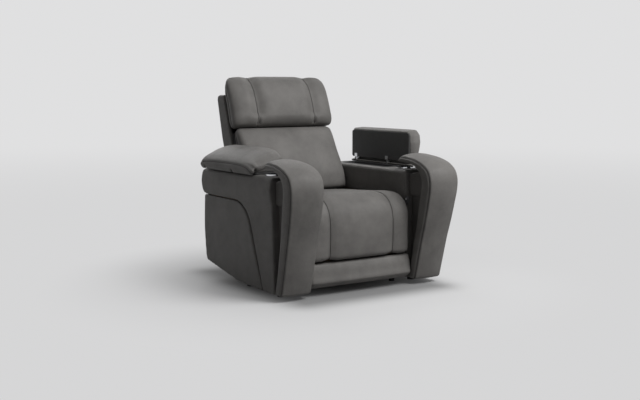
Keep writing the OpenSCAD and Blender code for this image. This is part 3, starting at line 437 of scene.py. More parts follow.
HIDE = Finish(
    "grey_hide", "leather", (0.122, 0.117, 0.111), (0.194, 0.186, 0.177), Pattern.HIDE,
    roughness=0.52, specular=0.25, sheen=0.04, edge_tone=(0.24, 0.23, 0.22), edge_share=0.5,
)
SHADOW_HIDE = Finish(
    "shadow_hide", "leather_shadow", (0.1, 0.095, 0.09), (0.12, 0.114, 0.108), Pattern.HIDE,
    roughness=0.58, specular=0.22, edge_tone=(0.18, 0.17, 0.165), edge_share=0.35,
)
# Painted shade: the piping cords in the seam grooves get a much darker hide than the cover, so each seam
# reads as a shadowed line
SEAM_SHADE = Finish(
    "seam_hide", "leather_shadow", (0.045, 0.042, 0.04), (0.06, 0.056, 0.053), Pattern.HIDE,
    roughness=0.6, specular=0.25, edge_tone=(0.1, 0.095, 0.09), edge_share=0.3, grain_scale=1100.0,
)
THREAD = Finish(
    "sewing_thread", "leather_shadow", (0.05, 0.047, 0.045), (0.075, 0.07, 0.067), Pattern.WEAVE,
    roughness=0.7, grain_scale=1500.0, hollow_share=0.2,
)
BLACK_STEEL = Finish(
    "black_steel", "black_steel", (0.018, 0.018, 0.02), (0.026, 0.026, 0.029),
    roughness=0.42, coat=0.15, grain_scale=900.0, relief=0.12, edge_tone=(0.2, 0.2, 0.205), edge_share=0.5,
)
ZINC = Finish(
    "zinc_plate", "zinc", (0.5, 0.51, 0.53), (0.62, 0.63, 0.65), metallic=1.0, roughness=0.3,
    grain_scale=420.0, relief=0.08, edge_tone=(0.78, 0.79, 0.8), edge_share=0.6,
)
CHROME = Finish(
    "polished_chrome", "chrome", (0.72, 0.73, 0.75), (0.8, 0.81, 0.83), metallic=1.0, roughness=0.09,
    roughness_spread=0.03, grain_scale=300.0, relief=0.02, edge_tone=(0.9, 0.9, 0.92), edge_share=0.4,
)
PLYWOOD = Finish(
    "bare_plywood", "plywood", (0.33, 0.2, 0.1), (0.43, 0.28, 0.15), Pattern.FIBRE, roughness=0.65,
    grain_scale=9.0, relief=0.25, edge_tone=(0.5, 0.36, 0.22), edge_share=0.4,
)
BLACK_PLASTIC = Finish(
    "black_plastic", "black_plastic", (0.016, 0.016, 0.018), (0.023, 0.023, 0.025), roughness=0.5,
    grain_scale=1300.0, relief=0.25, edge_tone=(0.09, 0.09, 0.092), edge_share=0.4,
)
LID_LINING = Finish(
    "lid_lining", "black_plastic", (0.014, 0.0135, 0.013), (0.019, 0.0185, 0.018), roughness=0.62,
    grain_scale=1600.0, relief=0.4, edge_tone=(0.06, 0.06, 0.06), edge_share=0.3,
)
WEBBING = Finish(
    "elastic_webbing", "webbing", (0.03, 0.03, 0.032), (0.045, 0.045, 0.048), Pattern.WEAVE,
    roughness=0.8, grain_scale=240.0, relief=0.6, relief_depth=0.001,
)
LINING_CLOTH = Finish(
    "lining_cloth", "webbing", (0.022, 0.021, 0.02), (0.032, 0.031, 0.03), Pattern.WEAVE, roughness=0.85,
    grain_scale=700.0, relief=0.4,
)
RUBBER = Finish(
    "foot_rubber", "rubber", (0.012, 0.012, 0.0125), (0.018, 0.018, 0.0185), roughness=0.75,
    grain_scale=800.0, relief=0.3, edge_tone=(0.05, 0.05, 0.05),
)


class Wardrobe:
    """Every finish's material, made when it is first asked for."""

    def __init__(self) -> None:
        """Builds the shared groups and starts with no material."""
        self.groups = ShaderGroups()
        self._made: dict[str, Material] = {}

    def material(self, finish: Finish) -> Material:
        """Gives the material of a finish.

        Args:
            finish: The finish.

        Returns:
            Its material, which is made at the first call.
        """
        if finish.name not in self._made:
            self._made[finish.name] = finish.build(self.groups)
        return self._made[finish.name]

    def dress(self, piece: Object, finish: Finish) -> Object:
        """Gives a new piece its finish.

        Args:
            piece: The piece.
            finish: Its finish.

        Returns:
            The same piece.
        """
        piece.data.materials.clear()
        piece.data.materials.append(self.material(finish))
        return piece

    def paint(self, node: Object, finish: Finish) -> None:
        """Gives a carried-over node of the frame its finish.

        Args:
            node: The node's object.
            finish: Its finish.
        """
        if not node.material_slots:
            node.data.materials.append(self.material(finish))
        for place in node.material_slots:
            place.material = self.material(finish)


def spline(rows: Sequence[Row], steps: int, closed: bool = False) -> Grid:
    """A smooth curve through rows of numbers, with more points between them.

    Args:
        rows: The rows to pass through.
        steps: Points for each gap between two rows.
        closed: Whether the last row runs on into the first.

    Returns:
        The finer rows.
    """
    p = np.array(rows, float)
    if closed:
        p = np.vstack([p[-2:], p, p[:3]])
    gap = np.maximum(np.linalg.norm(np.diff(p, axis=0), axis=1), 1e-9) ** 0.75
    slope = np.diff(p, axis=0) / gap[:, None]
    tangent = np.zeros_like(p)
    tangent[1:-1] = (gap[1:, None] * slope[:-1] + gap[:-1, None] * slope[1:]) / (gap[:-1] + gap[1:])[:, None]
    tangent[0], tangent[-1] = slope[0], slope[-1]
    first, last = (2, len(p) - 3) if closed else (0, len(p) - 1)
    out = []
    for i in range(first, last):
        t = np.linspace(0, 1, steps, endpoint=False)[:, None]
        h = gap[i]
        out.append(
            (2 * t**3 - 3 * t**2 + 1) * p[i] + (t**3 - 2 * t**2 + t) * h * tangent[i]
            + (3 * t**2 - 2 * t**3) * p[i + 1] + (t**3 - t**2) * h * tangent[i + 1]
        )
    if not closed:
        out.append(p[-1:])
    return np.vstack(out)


def mirrored(half: Sequence[Row]) -> list[Row]:
    """A whole cushion section from its right half, from the middle of the top to that of the underside."""
    return list(half) + [(-row[0], row[1], row[2]) for row in half[-2:0:-1]]


def loft_points(stations: Grid, section: Grid) -> Grid:
    """Points of a cushion form, as the frame's source works them out.

    Args:
        stations: Rows of front y, front z, rear y, rear z, half width, crown and middle x.
        section: Rows of the share of the half width, of the depth and of the crown.

    Returns:
        One ring of points for each station.
    """
    front, rear = stations[:, 0:2], stations[:, 2:4]
    out = front - rear
    out /= np.maximum(np.linalg.norm(out, axis=1, keepdims=True), 1e-9)
    flat = (
        front[:, None] + (rear - front)[:, None] * section[None, :, 1:2]
        + out[:, None] * (stations[:, 5:6] * section[None, :, 2])[..., None]
    )
    x = stations[:, 6:7] + stations[:, 4:5] * section[None, :, 0]
    return np.stack([x, flat[..., 0] - ORIGIN_Y, flat[..., 1]], axis=-1)


def linked(name: str, data: ID) -> Object:
    """Makes an object with the given data.

    Args:
        name: The object's name.
        data: Its mesh, light or camera.

    Returns:
        The object, linked to the scene.
    """
    made = bpy.data.objects.new(name, data)
    bpy.context.scene.collection.objects.link(made)
    return made


def new_object(name: str, bm: bmesh.types.BMesh, smooth: bool = True) -> Object:
    """Makes an object at the origin from a bmesh, and frees the bmesh.

    Args:
        name: The piece's name.
        bm: The finished bmesh.
        smooth: Whether its faces are shaded smooth.

    Returns:
        The object, linked to the scene.
    """
    mesh = bpy.data.meshes.new(name)
    bm.to_mesh(mesh)
    bm.free()
    mesh.polygons.foreach_set("use_smooth", [smooth] * len(mesh.polygons))
    return linked(name, mesh)


def sweep(bm: bmesh.types.BMesh, rings: Grid) -> None:
    """Extrudes a ring of edges from place to place, and closes both ends.

    Args:
        bm: The bmesh that gets the faces.
        rings: One ring of points for each place.
    """
    count = rings.shape[1]
    loop = bmesh.ops.create_circle(bm, cap_ends=False, segments=count, radius=1.0)["verts"]
    ends = [loop]
    for point, vert in zip(rings[0], loop):
        vert.co = point
    for ring in rings[1:]:
        edges = [bm.edges.get((loop[k], loop[(k + 1) % count])) for k in range(count)]
        made = bmesh.ops.extrude_edge_only(bm, edges=edges)["geom"]
        grown = {g for g in made if isinstance(g, bmesh.types.BMVert)}
        loop = [next(o for o in (e.other_vert(v) for e in v.link_edges) if o in grown) for v in loop]
        for point, vert in zip(ring, loop):
            vert.co = point
    ends.append(loop)
    caps = []
    for end in ends:
        edges = [bm.edges.get((end[k], end[(k + 1) % count])) for k in range(count)]
        caps += bmesh.ops.contextual_create(bm, geom=edges)["faces"]
    bmesh.ops.poke(bm, faces=caps)
    bmesh.ops.recalc_face_normals(bm, faces=bm.faces[:])


def tube(bm: bmesh.types.BMesh, path: Grid, radius: float) -> None:
    """Adds a round tube along a path.

    Args:
        bm: The bmesh that gets the tube.
        path: Points of the tube's middle line.
        radius: The tube's radius.
    """
    way = np.gradient(path, axis=0)
    way /= np.maximum(np.linalg.norm(way, axis=1, keepdims=True), 1e-9)
    up = np.cross(way[0], (0.0, 0.0, 1.0) if abs(way[0][2]) < 0.9 else (1.0, 0.0, 0.0))
    rings = []
    for point, along in zip(path, way):
        up = up - along * float(up @ along)
        up /= np.linalg.norm(up)
        side = np.cross(along, up)
        turn = np.linspace(0, math.tau, TUBE_SIDES, endpoint=False)[:, None]
        rings.append(point + radius * (np.cos(turn) * up + np.sin(turn) * side))
    sweep(bm, np.array(rings))


class Surface:
    """A finished cushion's skin, on which seams, piping and stitches are laid."""

    def __init__(self, piece: Object) -> None:
        """Reads a piece's mesh.

        Args:
            piece: The cushion.
        """
        bm = bmesh.new()
        bm.from_mesh(piece.data)
        self._tree = BVHTree.FromBMesh(bm)
        bm.free()

    def lay(self, path: Grid, lift: float = 0.0) -> tuple[Grid, Grid]:
        """Moves a path onto the skin.

        Args:
            path: Points near the skin.
            lift: How far above the skin the path ends up.

        Returns:
            The points on the skin and the skin's directions there.
        """
        points, normals = [], []
        for point in path:
            place, normal, _, _ = self._tree.find_nearest(Vector(point))
            points.append(place + normal * lift)
            normals.append(normal)
        return np.array(points), np.array(normals)


@dataclass(frozen=True)
class Press:
    """How far a seam draws the skin in, and how far to each side."""

    depth: float
    width: float


@dataclass(frozen=True)
class Cord:
    """A piped cord's radius, and how far its middle stands above the skin."""

    radius: float
    lift: float = 0.0


def even_path(path: Grid, pitch: float) -> Grid:
    """Spreads points evenly along a path.

    Args:
        path: The path's own points.
        pitch: The length from one new point to the next.

    Returns:
        The new points.
    """
    run = np.concatenate([[0], np.cumsum(np.linalg.norm(np.diff(path, axis=0), axis=1))])
    count = max(2, int(round(run[-1] / pitch)) + 1)
    at = np.linspace(0, run[-1], count)
    return np.stack([np.interp(at, run, path[:, k]) for k in range(3)], axis=-1)


def press_seams(piece: Object, paths: Sequence[Grid], press: Press) -> None:
    """Draws a cushion's skin in along its seams.

    Args:
        piece: The cushion.
        paths: The seams.
        press: How deep and how wide the skin is drawn in.
    """
    points = np.vstack([even_path(p, press.width / 3) for p in paths])
    tree = KDTree(len(points))
    for index, point in enumerate(points):
        tree.insert(point, index)
    tree.balance()
    mesh = piece.data
    moves = []
    for vert in mesh.vertices:
        near = tree.find(vert.co)[2]
        share = math.exp(-((near / press.width) ** 2)) if near < 3 * press.width else 0.0
        moves.append(vert.co - vert.normal * press.depth * share)
    for vert, co in zip(mesh.vertices, moves):
        vert.co = co


def stitches(name: str, skin: Surface, paths: Sequence[Grid]) -> Object:
    """Lays rows of stitches on a cushion's skin.

    Args:
        name: The new piece's name.
        skin: The cushion's skin.
        paths: The rows.

    Returns:
        The piece of thread.
    """
    bm = bmesh.new()
    for path in paths:
        points, normals = skin.lay(even_path(path, STITCH_PITCH), STITCH_THICK * STITCH_LIFT)
        for a, b, up in zip(points[:-1], points[1:], normals[:-1]):
            way = Vector(b - a)
            if way.length < 1e-5:
                continue
            side = way.normalized().cross(Vector(up))
            turned = Matrix((way.normalized(), side, side.cross(way.normalized()))).transposed().to_4x4()
            turned.translation = Vector((a + b) / 2)
            shape = Matrix.Diagonal((way.length * STITCH_REACH, STITCH_THICK, STITCH_THICK, 1.0))
            bmesh.ops.create_uvsphere(bm, u_segments=6, v_segments=3, radius=1.0,
                                      matrix=turned @ shape @ Matrix.Rotation(math.pi / 2, 4, "Y"))
    return new_object(name, bm)


def piping(name: str, skin: Surface, paths: Sequence[Grid], cord: Cord) -> Object:
    """Lays piped cord on a cushion's skin.

    Args:
        name: The new piece's name.
        skin: The cushion's skin.
        paths: The lines that the cord follows.
        cord: The cord's size and place.

    Returns:
        The piece of piping.
    """
    bm = bmesh.new()
    for path in paths:
        points, _ = skin.lay(even_path(path, cord.radius * CORD_PITCH), cord.lift)
        smooth = points.copy()
        smooth[1:-1] = (points[:-2] + 2 * points[1:-1] + points[2:]) / 4
        tube(bm, smooth, cord.radius)
    return new_object(name, bm)


def remeshed(name: str, source: Object, voxel: float) -> Object:
    """A copy of a piece whose skin is one even mesh.

    Args:
        name: The new piece's name.
        source: The piece that is copied.
        voxel: The size of the new mesh's cells.

    Returns:
        The new piece, with the same place.
    """
    mesh = source.data.copy()
    bm = bmesh.new()
    bm.from_mesh(mesh)
    bmesh.ops.remove_doubles(bm, verts=bm.verts[:], dist=1e-5)
    bm.to_mesh(mesh)
    bm.free()
    mesh.materials.clear()
    piece = linked(name, mesh)
    change = piece.modifiers.new("even", "REMESH")
    change.mode = "VOXEL"
    change.voxel_size = voxel
    change.use_smooth_shade = True
    bake_modifiers(piece)
    return piece


def evaluated(piece: Object) -> Mesh:
    """A mesh of what a piece's modifiers make."""
    graph = bpy.context.evaluated_depsgraph_get()
    return bpy.data.meshes.new_from_object(piece.evaluated_get(graph), depsgraph=graph)


def bake_modifiers(piece: Object) -> None:
    """Puts what the modifiers make into the piece's own mesh.

    Args:
        piece: The piece, which has no modifiers afterwards.
    """
    mesh = evaluated(piece)
    piece.modifiers.clear()
    old, piece.data = piece.data, mesh
    mesh.name = piece.name
    bpy.data.meshes.remove(old)
    mesh.polygons.foreach_set("use_smooth", [True] * len(mesh.polygons))


def smoothen(piece: Object, rounds: int) -> None:
    """Smooths a piece's mesh.

    Args:
        piece: The piece.
        rounds: How many times it is smoothed.
    """
    bm = bmesh.new()
    bm.from_mesh(piece.data)
    for _ in range(rounds):
        bmesh.ops.smooth_vert(
            bm, verts=bm.verts[:], factor=0.5, use_axis_x=True, use_axis_y=True, use_axis_z=True,
        )
    bm.to_mesh(piece.data)
    bm.free()


def sculpt(piece: Object, move: Callable[[Vector, Vector], Vector]) -> None:
    """Moves each point of a piece.

    Args:
        piece: The piece.
        move: Gives a point's move from its place and its normal.
    """
    moves = [vert.co + move(vert.co, vert.normal) for vert in piece.data.vertices]
    for vert, co in zip(piece.data.vertices, moves):
        vert.co = co
    piece.data.update()


def subdivide(piece: Object) -> None:
    """Subdivides a piece's mesh once, smoothly.

    Args:
        piece: The piece.
    """
    change = piece.modifiers.new("finer", "SUBSURF")
    change.levels = change.render_levels = 1
    bake_modifiers(piece)


@dataclass
class Inflater:
    """Fills a cushion by a short cloth simulation."""

    voxel: float = 0.006
    pressure: float = 3.0
    frames: int = 20
    cap: float = 0.012
    slack: float = 0.003
    quality: int = 5
    stretch: float = 15.0
    shear: float = 8.0
    bending: float = 0.6
    smoothing: int = 3

    def plump(self, piece: Object, held: Callable[[Vector], float]) -> None:
        """Args:
            piece: The cushion, whose mesh is replaced.
            held: How firmly a point is held, from 0 to 1.
        """
        self._fill(piece, held)
        subdivide(piece)

    def _fill(self, piece: Object, held: Callable[[Vector], float]) -> None:
        """Blows the cushion up under its seams.

        Args:
            piece: The cushion, whose mesh is replaced.
            held: How firmly a point is held, from 0 to 1.
        """
        even = remeshed(piece.name + "_even", piece, self.voxel)
        sculpt(even, lambda co, normal: -normal * self.slack * (1.0 - held(co)))
        rest = np.array([v.co for v in even.data.vertices])
        group = even.vertex_groups.new(name="held")
        for vert in even.data.vertices:
            weight = held(vert.co)
            if weight > 0:
                group.add([vert.index], weight, "REPLACE")
        cloth = even.modifiers.new("fill", "CLOTH")
        settings = cloth.settings
        settings.vertex_group_mass = group.name
        settings.use_pressure = True
        settings.uniform_pressure_force = self.pressure
        settings.quality = self.quality
        settings.tension_stiffness = settings.compression_stiffness = self.stretch
        settings.shear_stiffness = self.shear
        settings.bending_stiffness = self.bending
        settings.effector_weights.gravity = 0
        cloth.collision_settings.use_collision = False
        cloth.point_cache.frame_start = 1
        cloth.point_cache.frame_end = self.frames
        scene = bpy.context.scene
        for frame_number in range(1, self.frames + 1):
            scene.frame_set(frame_number)
        mesh = evaluated(even)
        scene.frame_set(1)
        moved = np.array([v.co for v in mesh.vertices]) - rest
        length = np.linalg.norm(moved, axis=1, keepdims=True)
        moved *= np.minimum(1.0, self.cap / np.maximum(length, 1e-9))
        mesh.vertices.foreach_set("co", (rest + moved).ravel())
        bpy.data.objects.remove(even)
        old, piece.data = piece.data, mesh
        bpy.data.meshes.remove(old)
        mesh.name = piece.name
        smoothen(piece, self.smoothing)


def band_of(value: float, middle: float, reach: float) -> float:
    """A smooth hump, 1 in the middle and 0 from the reach outwards."""
    share = min(1.0, abs(value - middle) / reach)
    return (1 - share * share) ** 2


PLAIN_SECTION = mirrored([
    (0, 0, 1), (0.4, 0, 0.88), (0.72, 0, 0.5), (0.88, 0, 0.12), (0.95, 0.04, 0), (0.99, 0.16, 0),
    (1, 0.38, 0), (0.985, 0.66, 0), (0.97, 0.92, 0), (0.93, 1, 0), (0, 1, 0),
])
HEADREST_SECTION = mirrored([
    (0, 0, 1), (0.4, 0, 0.95), (0.62, 0, 0.76), (0.8, 0, 0.3), (0.92, 0.07, 0), (0.98, 0.22, 0),
    (1, 0.42, 0), (0.985, 0.66, 0), (0.97, 0.92, 0), (0.93, 1, 0), (0, 1, 0),
])
BAND_SECTION = mirrored([
    (0, 0, 1), (0.45, 0, 0.82), (0.75, 0, 0.48), (0.92, 0, 0.14), (0.985, 0.06, 0), (1, 0.2, 0),
    (1, 0.9, 0), (0.97, 1, 0), (0, 1, 0),
])


@dataclass(frozen=True)
class BackSizes:
    """The sizes of one cushion of the back: its lower edge and its height lie along the lean."""

    low: float
    long: float
    thick: float
    half: float
    crown: float


# The cells of the covers that follow the frame's own forms, in metres
COVER_CELL = 0.005
LID_CELL = 0.004

# How wide a rim of a back cushion's cover is held, and how deep a share of its thickness
HELD_SIDE, HELD_FOOT, HELD_HEAD, HELD_DEPTH = 0.09, 0.07, 0.09, 0.4

LUMBAR = BackSizes(low=-0.024, long=0.370, thick=0.128, half=0.298, crown=0.020)
HEADREST = BackSizes(low=0.350, long=0.291, thick=0.101, half=0.313, crown=0.022)


def firmness(inside: float) -> float:
    """How firmly a cover is held: 1 at its edge or outside, and 0 from a share of 1 inwards."""
    share = min(1.0, max(0.0, inside))
    return 1.0 - share * share * (3 - 2 * share)


def back_point(u: float, v: float) -> tuple[float, float]:
    """The place y, z of a point of the back's own plane: u to the rear, v up along the lean."""
    sin, cos = math.sin(BACK_LEAN), math.cos(BACK_LEAN)
    return BACK_Y + v * sin + u * cos, BACK_Z + v * cos - u * sin


def held_edge(sizes: BackSizes) -> Callable[[Vector], float]:
    """How firmly a back cushion's cover is held by its own seams and board.

    Args:
        sizes: The cushion's sizes.

    Returns:
        A function of a point, 1 on the rear and round the edges and 0 in the middle of the front.
    """
    sin, cos = math.sin(BACK_LEAN), math.cos(BACK_LEAN)

    def held(co: Vector) -> float:
        """How firmly one point is held.

        Args:
            co: The point.

        Returns:
            The hold, from 0 to 1.
        """
        y, z = co.y + ORIGIN_Y - BACK_Y, co.z - BACK_Z
        depth, rise = -(y * cos - z * sin), y * sin + z * cos
        return firmness(min(
            (sizes.half - abs(co.x)) / HELD_SIDE, (rise - sizes.low) / HELD_FOOT,
            (sizes.low + sizes.long - rise) / HELD_HEAD, depth / (HELD_DEPTH * sizes.thick),
        ))

    return held


def back_rows(shares: Sequence[Row], sizes: BackSizes) -> list[Row]:
    """Stations of a back cushion from shares of its own sizes.

    Args:
        shares: Rows of front depth and height, rear depth and height, half width and crown.
        sizes: The cushion's sizes.

    Returns:
        The stations.
    """
    return [
        (*back_point(-q[0] * sizes.thick, sizes.low + q[1] * sizes.long),
         *back_point(-q[2] * sizes.thick, sizes.low + q[3] * sizes.long),
         q[4] * sizes.half, q[5] * sizes.crown, 0.0)
        for q in shares
    ]


@dataclass
class SoftPiece:
    """A padded piece of the seat: its name, its form and its seams."""

    name: str
    stations: Sequence[Row]
    section: Sequence[Row]
    station_steps: int
    section_steps: int
    rings: Grid = field(init=False)

    def build(self) -> Object:
        """Lofts the form.

        Returns:
            The cushion, smooth and closed.
        """
        stations = spline(self.stations, self.station_steps)
        section = spline(self.section, self.section_steps, closed=True)
        self.rings = loft_points(stations, section)
        bm = bmesh.new()
        sweep(bm, self.rings)
        return new_object(self.name, bm)

    def line(self, share: float, start: float = 0.0, end: float = 1.0) -> Grid:
        """A line along the form.

        Args:
            share: Where round the section the line lies, from 0 at the middle of the top.
            start: Where along the form it starts, as a share of its stations.
            end: Where it ends.

        Returns:
            The line's points.
        """
        count, around = self.rings.shape[:2]
        index = int(round(share * around)) % around
        return self.rings[int(round(start * (count - 1))) : int(round(end * (count - 1))) + 1, index]


@dataclass
class Chaise:
    """The seat that rolls over into the footrest, and the skirt pad below."""

    # Between these two places the cover passes from the seat to the footrest
    FOLD_START = (0, 0.097 - ORIGIN_Y, 0.485)
    FOLD_END = (0, 0.002 - ORIGIN_Y, 0.385)
    # How wide the held rims of the cover are, at its sides, its rear and its foot
    HELD_RIMS = (0.07, 0.1, 0.06)

    wardrobe: Wardrobe
    inflater: Inflater
    seam_x: float = 0.188
    cross_y: float = 0.392
    corner: float = 0.065
    roll_steps: int = 10
    corner_steps: int = 9
    cross_steps: int = 18
    seam_z: float = 0.477
    stitch_gap: float = 0.0065
    valley: Press = Press(0.008, 0.026)
    groove: Press = Press(0.007, 0.005)
    seam_cord: Cord = Cord(0.0023, 0.0004)
    cross_cord: Cord = Cord(0.0028, 0.0016)

    def stations(self) -> list[Row]:
        """Stations from the seat's rear, over the rolled front and down the footrest.

        Returns:
            The rows of the form.
        """
        low = DECK_Z + 0.001
        flat = (
            (SEAT_REAR_Y, 1.4, low + SEAT_DROP, 0.012, 0), (0.586, 1.0, low, 0, 0.14),
            (0.530, 0.733, low, 0, 0.7), (0.380, 0.467, low, 0.002, 1.0), (0.230, 0.167, low, 0.002, 1.0),
            (0.160, 0, low, 0, 1.0),
        )
        rows: list[Row] = [
            (y, SEAT_FRONT_Z - drop * SEAT_DROP, y, under, CUSHION_HALF - tuck, crown * SEAT_CROWN, 0)
            for y, drop, under, tuck, crown in flat
        ]
        middle = (SEAT_FACE_Y + SEAT_ROLL, SEAT_FRONT_Z - SEAT_ROLL)
        for i in range(self.roll_steps + 1):
            share = i / self.roll_steps
            angle = math.radians(90 + 90 * share)
            thick = np.interp(share, (0, 0.5, 1), (SEAT_THICK - 0.001, PIVOT_THICK, FOOTREST_THICK))
            cos, sin = math.cos(angle), math.sin(angle)
            rows.append((
                middle[0] + SEAT_ROLL * cos, middle[1] + SEAT_ROLL * sin,
                middle[0] + (SEAT_ROLL - thick) * cos, middle[1] + (SEAT_ROLL - thick) * sin,
                CUSHION_HALF, SEAT_CROWN * 0.9, 0,
            ))
        rear = SEAT_FACE_Y + FOOTREST_THICK
        rows += [
            (SEAT_FACE_Y, 0.28, rear, 0.28, CUSHION_HALF - 0.002, SEAT_CROWN, 0),
            (SEAT_FACE_Y, 0.215, rear, 0.215, CUSHION_HALF - 0.001, SEAT_CROWN * 0.85, 0),
            (SEAT_FACE_Y + 0.004, FOOTREST_LOW + 0.013, rear, FOOTREST_LOW + 0.016,
             CUSHION_HALF - 0.002, 0.005, 0),
            (SEAT_FACE_Y + 0.018, FOOTREST_LOW + 0.0015, rear, FOOTREST_LOW + 0.002,
             CUSHION_HALF - 0.008, 0, 0),
        ]
        return rows

    def seams(self) -> tuple[list[Grid], list[Grid]]:
        """The seams that frame the middle panel, with rounded corners at the rear.

        Returns:
            The two long seams, each with its rounded corner, and the cross seam in a list of its own.
        """
        top = spline(self.stations(), 8)
        start = int(np.argmin(np.abs(top[:, 0] - (self.cross_y - self.corner)) + (top[:, 1] < 0.4)))
        turn = np.linspace(0, math.pi / 2, self.corner_steps)
        long = []
        for side in Side:
            arc = np.stack([
                side.value * (self.seam_x - self.corner * (1 - np.sin(turn))),
                self.cross_y - self.corner * (1 - np.cos(turn)) - ORIGIN_Y,
                np.full(len(turn), self.seam_z),
            ], axis=-1)
            rest = top[start:]
            line = np.stack([
                np.full(len(rest), side.value * self.seam_x), rest[:, 0] - ORIGIN_Y, rest[:, 1] + 0.004,
            ], axis=-1)
            long.append(np.vstack([arc, line[1:]]))
        reach = self.seam_x - self.corner
        xs = np.linspace(-reach, reach, self.cross_steps)
        cross = np.array([(x, self.cross_y - ORIGIN_Y, self.seam_z) for x in xs])
        return long, [cross]

    def build(self) -> list[Object]:
        """Builds the pad, its seams and stitches, and the skirt pad.

        Returns:
            The pieces.
        """
        pad = SoftPiece("chaise_pad", self.stations(), PLAIN_SECTION, 4, 5).build()
        long, cross = self.seams()
        self.inflater.plump(pad, self._held)
        skin = Surface(pad)
        laid = [skin.lay(line)[0] for line in long + cross]
        press_seams(pad, laid, self.valley)
        press_seams(pad, laid, self.groove)
        skin = Surface(pad)
        beside = [np.array([s * self.stitch_gap, 0, 0]) for s in (-1, 1)]
        rows = [line[self.corner_steps:] + gap for line in laid[:2] for gap in beside]
        thread = stitches("chaise_stitches", skin, rows)
        across = stitches("seat_cross_stitches", skin, [laid[2] + np.array([0, -self.stitch_gap, 0])])
        seam = piping("chaise_seams", skin, laid[:2], self.seam_cord)
        cross_seam = piping("seat_cross_seam", skin, laid[2:], self.cross_cord)
        for piece in (pad, thread, seam):
            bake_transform(piece)
        for piece in (across, cross_seam):
            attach(piece, "base")
        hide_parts("seat_cushion", "footrest_cushion")
        pieces = [pad, thread, across, seam, cross_seam]
        for piece, finish in zip(pieces, (HIDE, THREAD, THREAD, SEAM_SHADE, SEAM_SHADE)):
            self.wardrobe.dress(piece, finish)
        return [*pieces, self._skirt()]

    def _held(self, co: Vector) -> float:
        """How firmly a point of the seat's cover is held by the deck, the footrest board and its edges.

        Args:
            co: The point.

        Returns:
            The hold, from 0 to 1.
        """
        y = co.y + ORIGIN_Y
        rear = SEAT_FACE_Y + FOOTREST_THICK
        if (y > rear and co.z < DECK_Z + 0.02) or (co.z < DECK_Z and y > rear - 0.012):
            return 1.0
        depths = (CUSHION_HALF - abs(co.x), SEAT_REAR_Y - y, co.z - FOOTREST_LOW)
        return firmness(min(depth / rim for depth, rim in zip(depths, self.HELD_RIMS)))

    def _skirt(self) -> Object:
        """Builds the skirt pad below the footrest.

        Returns:
            The pad.
        """
        rear, half = STRIP_REAR_Y, STRIP_HALF
        rows = [
            (SEAT_FACE_Y + 0.026, STRIP_TOP, rear, STRIP_TOP, half - 0.009, 0, 0),
            (SEAT_FACE_Y + 0.014, STRIP_TOP - 0.004, rear, STRIP_TOP - 0.002, half - 0.003, 0.002, 0),
            (SEAT_FACE_Y + 0.006, STRIP_TOP - 0.02, rear, STRIP_TOP - 0.018, half, 0.005, 0),
            (SEAT_FACE_Y - 0.003, STRIP_TOP - 0.06, rear, STRIP_TOP - 0.05, half, 0.007, 0),
            (SEAT_FACE_Y - 0.009, STRIP_LOW + 0.028, rear, STRIP_LOW + 0.04, half, 0.008, 0),
            (SEAT_FACE_Y + 0.001, STRIP_LOW + 0.014, rear, STRIP_LOW + 0.014, half - 0.001, 0.004, 0),
            (SEAT_FACE_Y + 0.018, STRIP_LOW, rear, STRIP_LOW, half - 0.009, 0, 0),
        ]
        pad = SoftPiece("skirt_pad", rows, PLAIN_SECTION, 5, 5).build()
        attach(pad, "footrest")
        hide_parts("footrest_lower_pad")
        return self.wardrobe.dress(pad, HIDE)


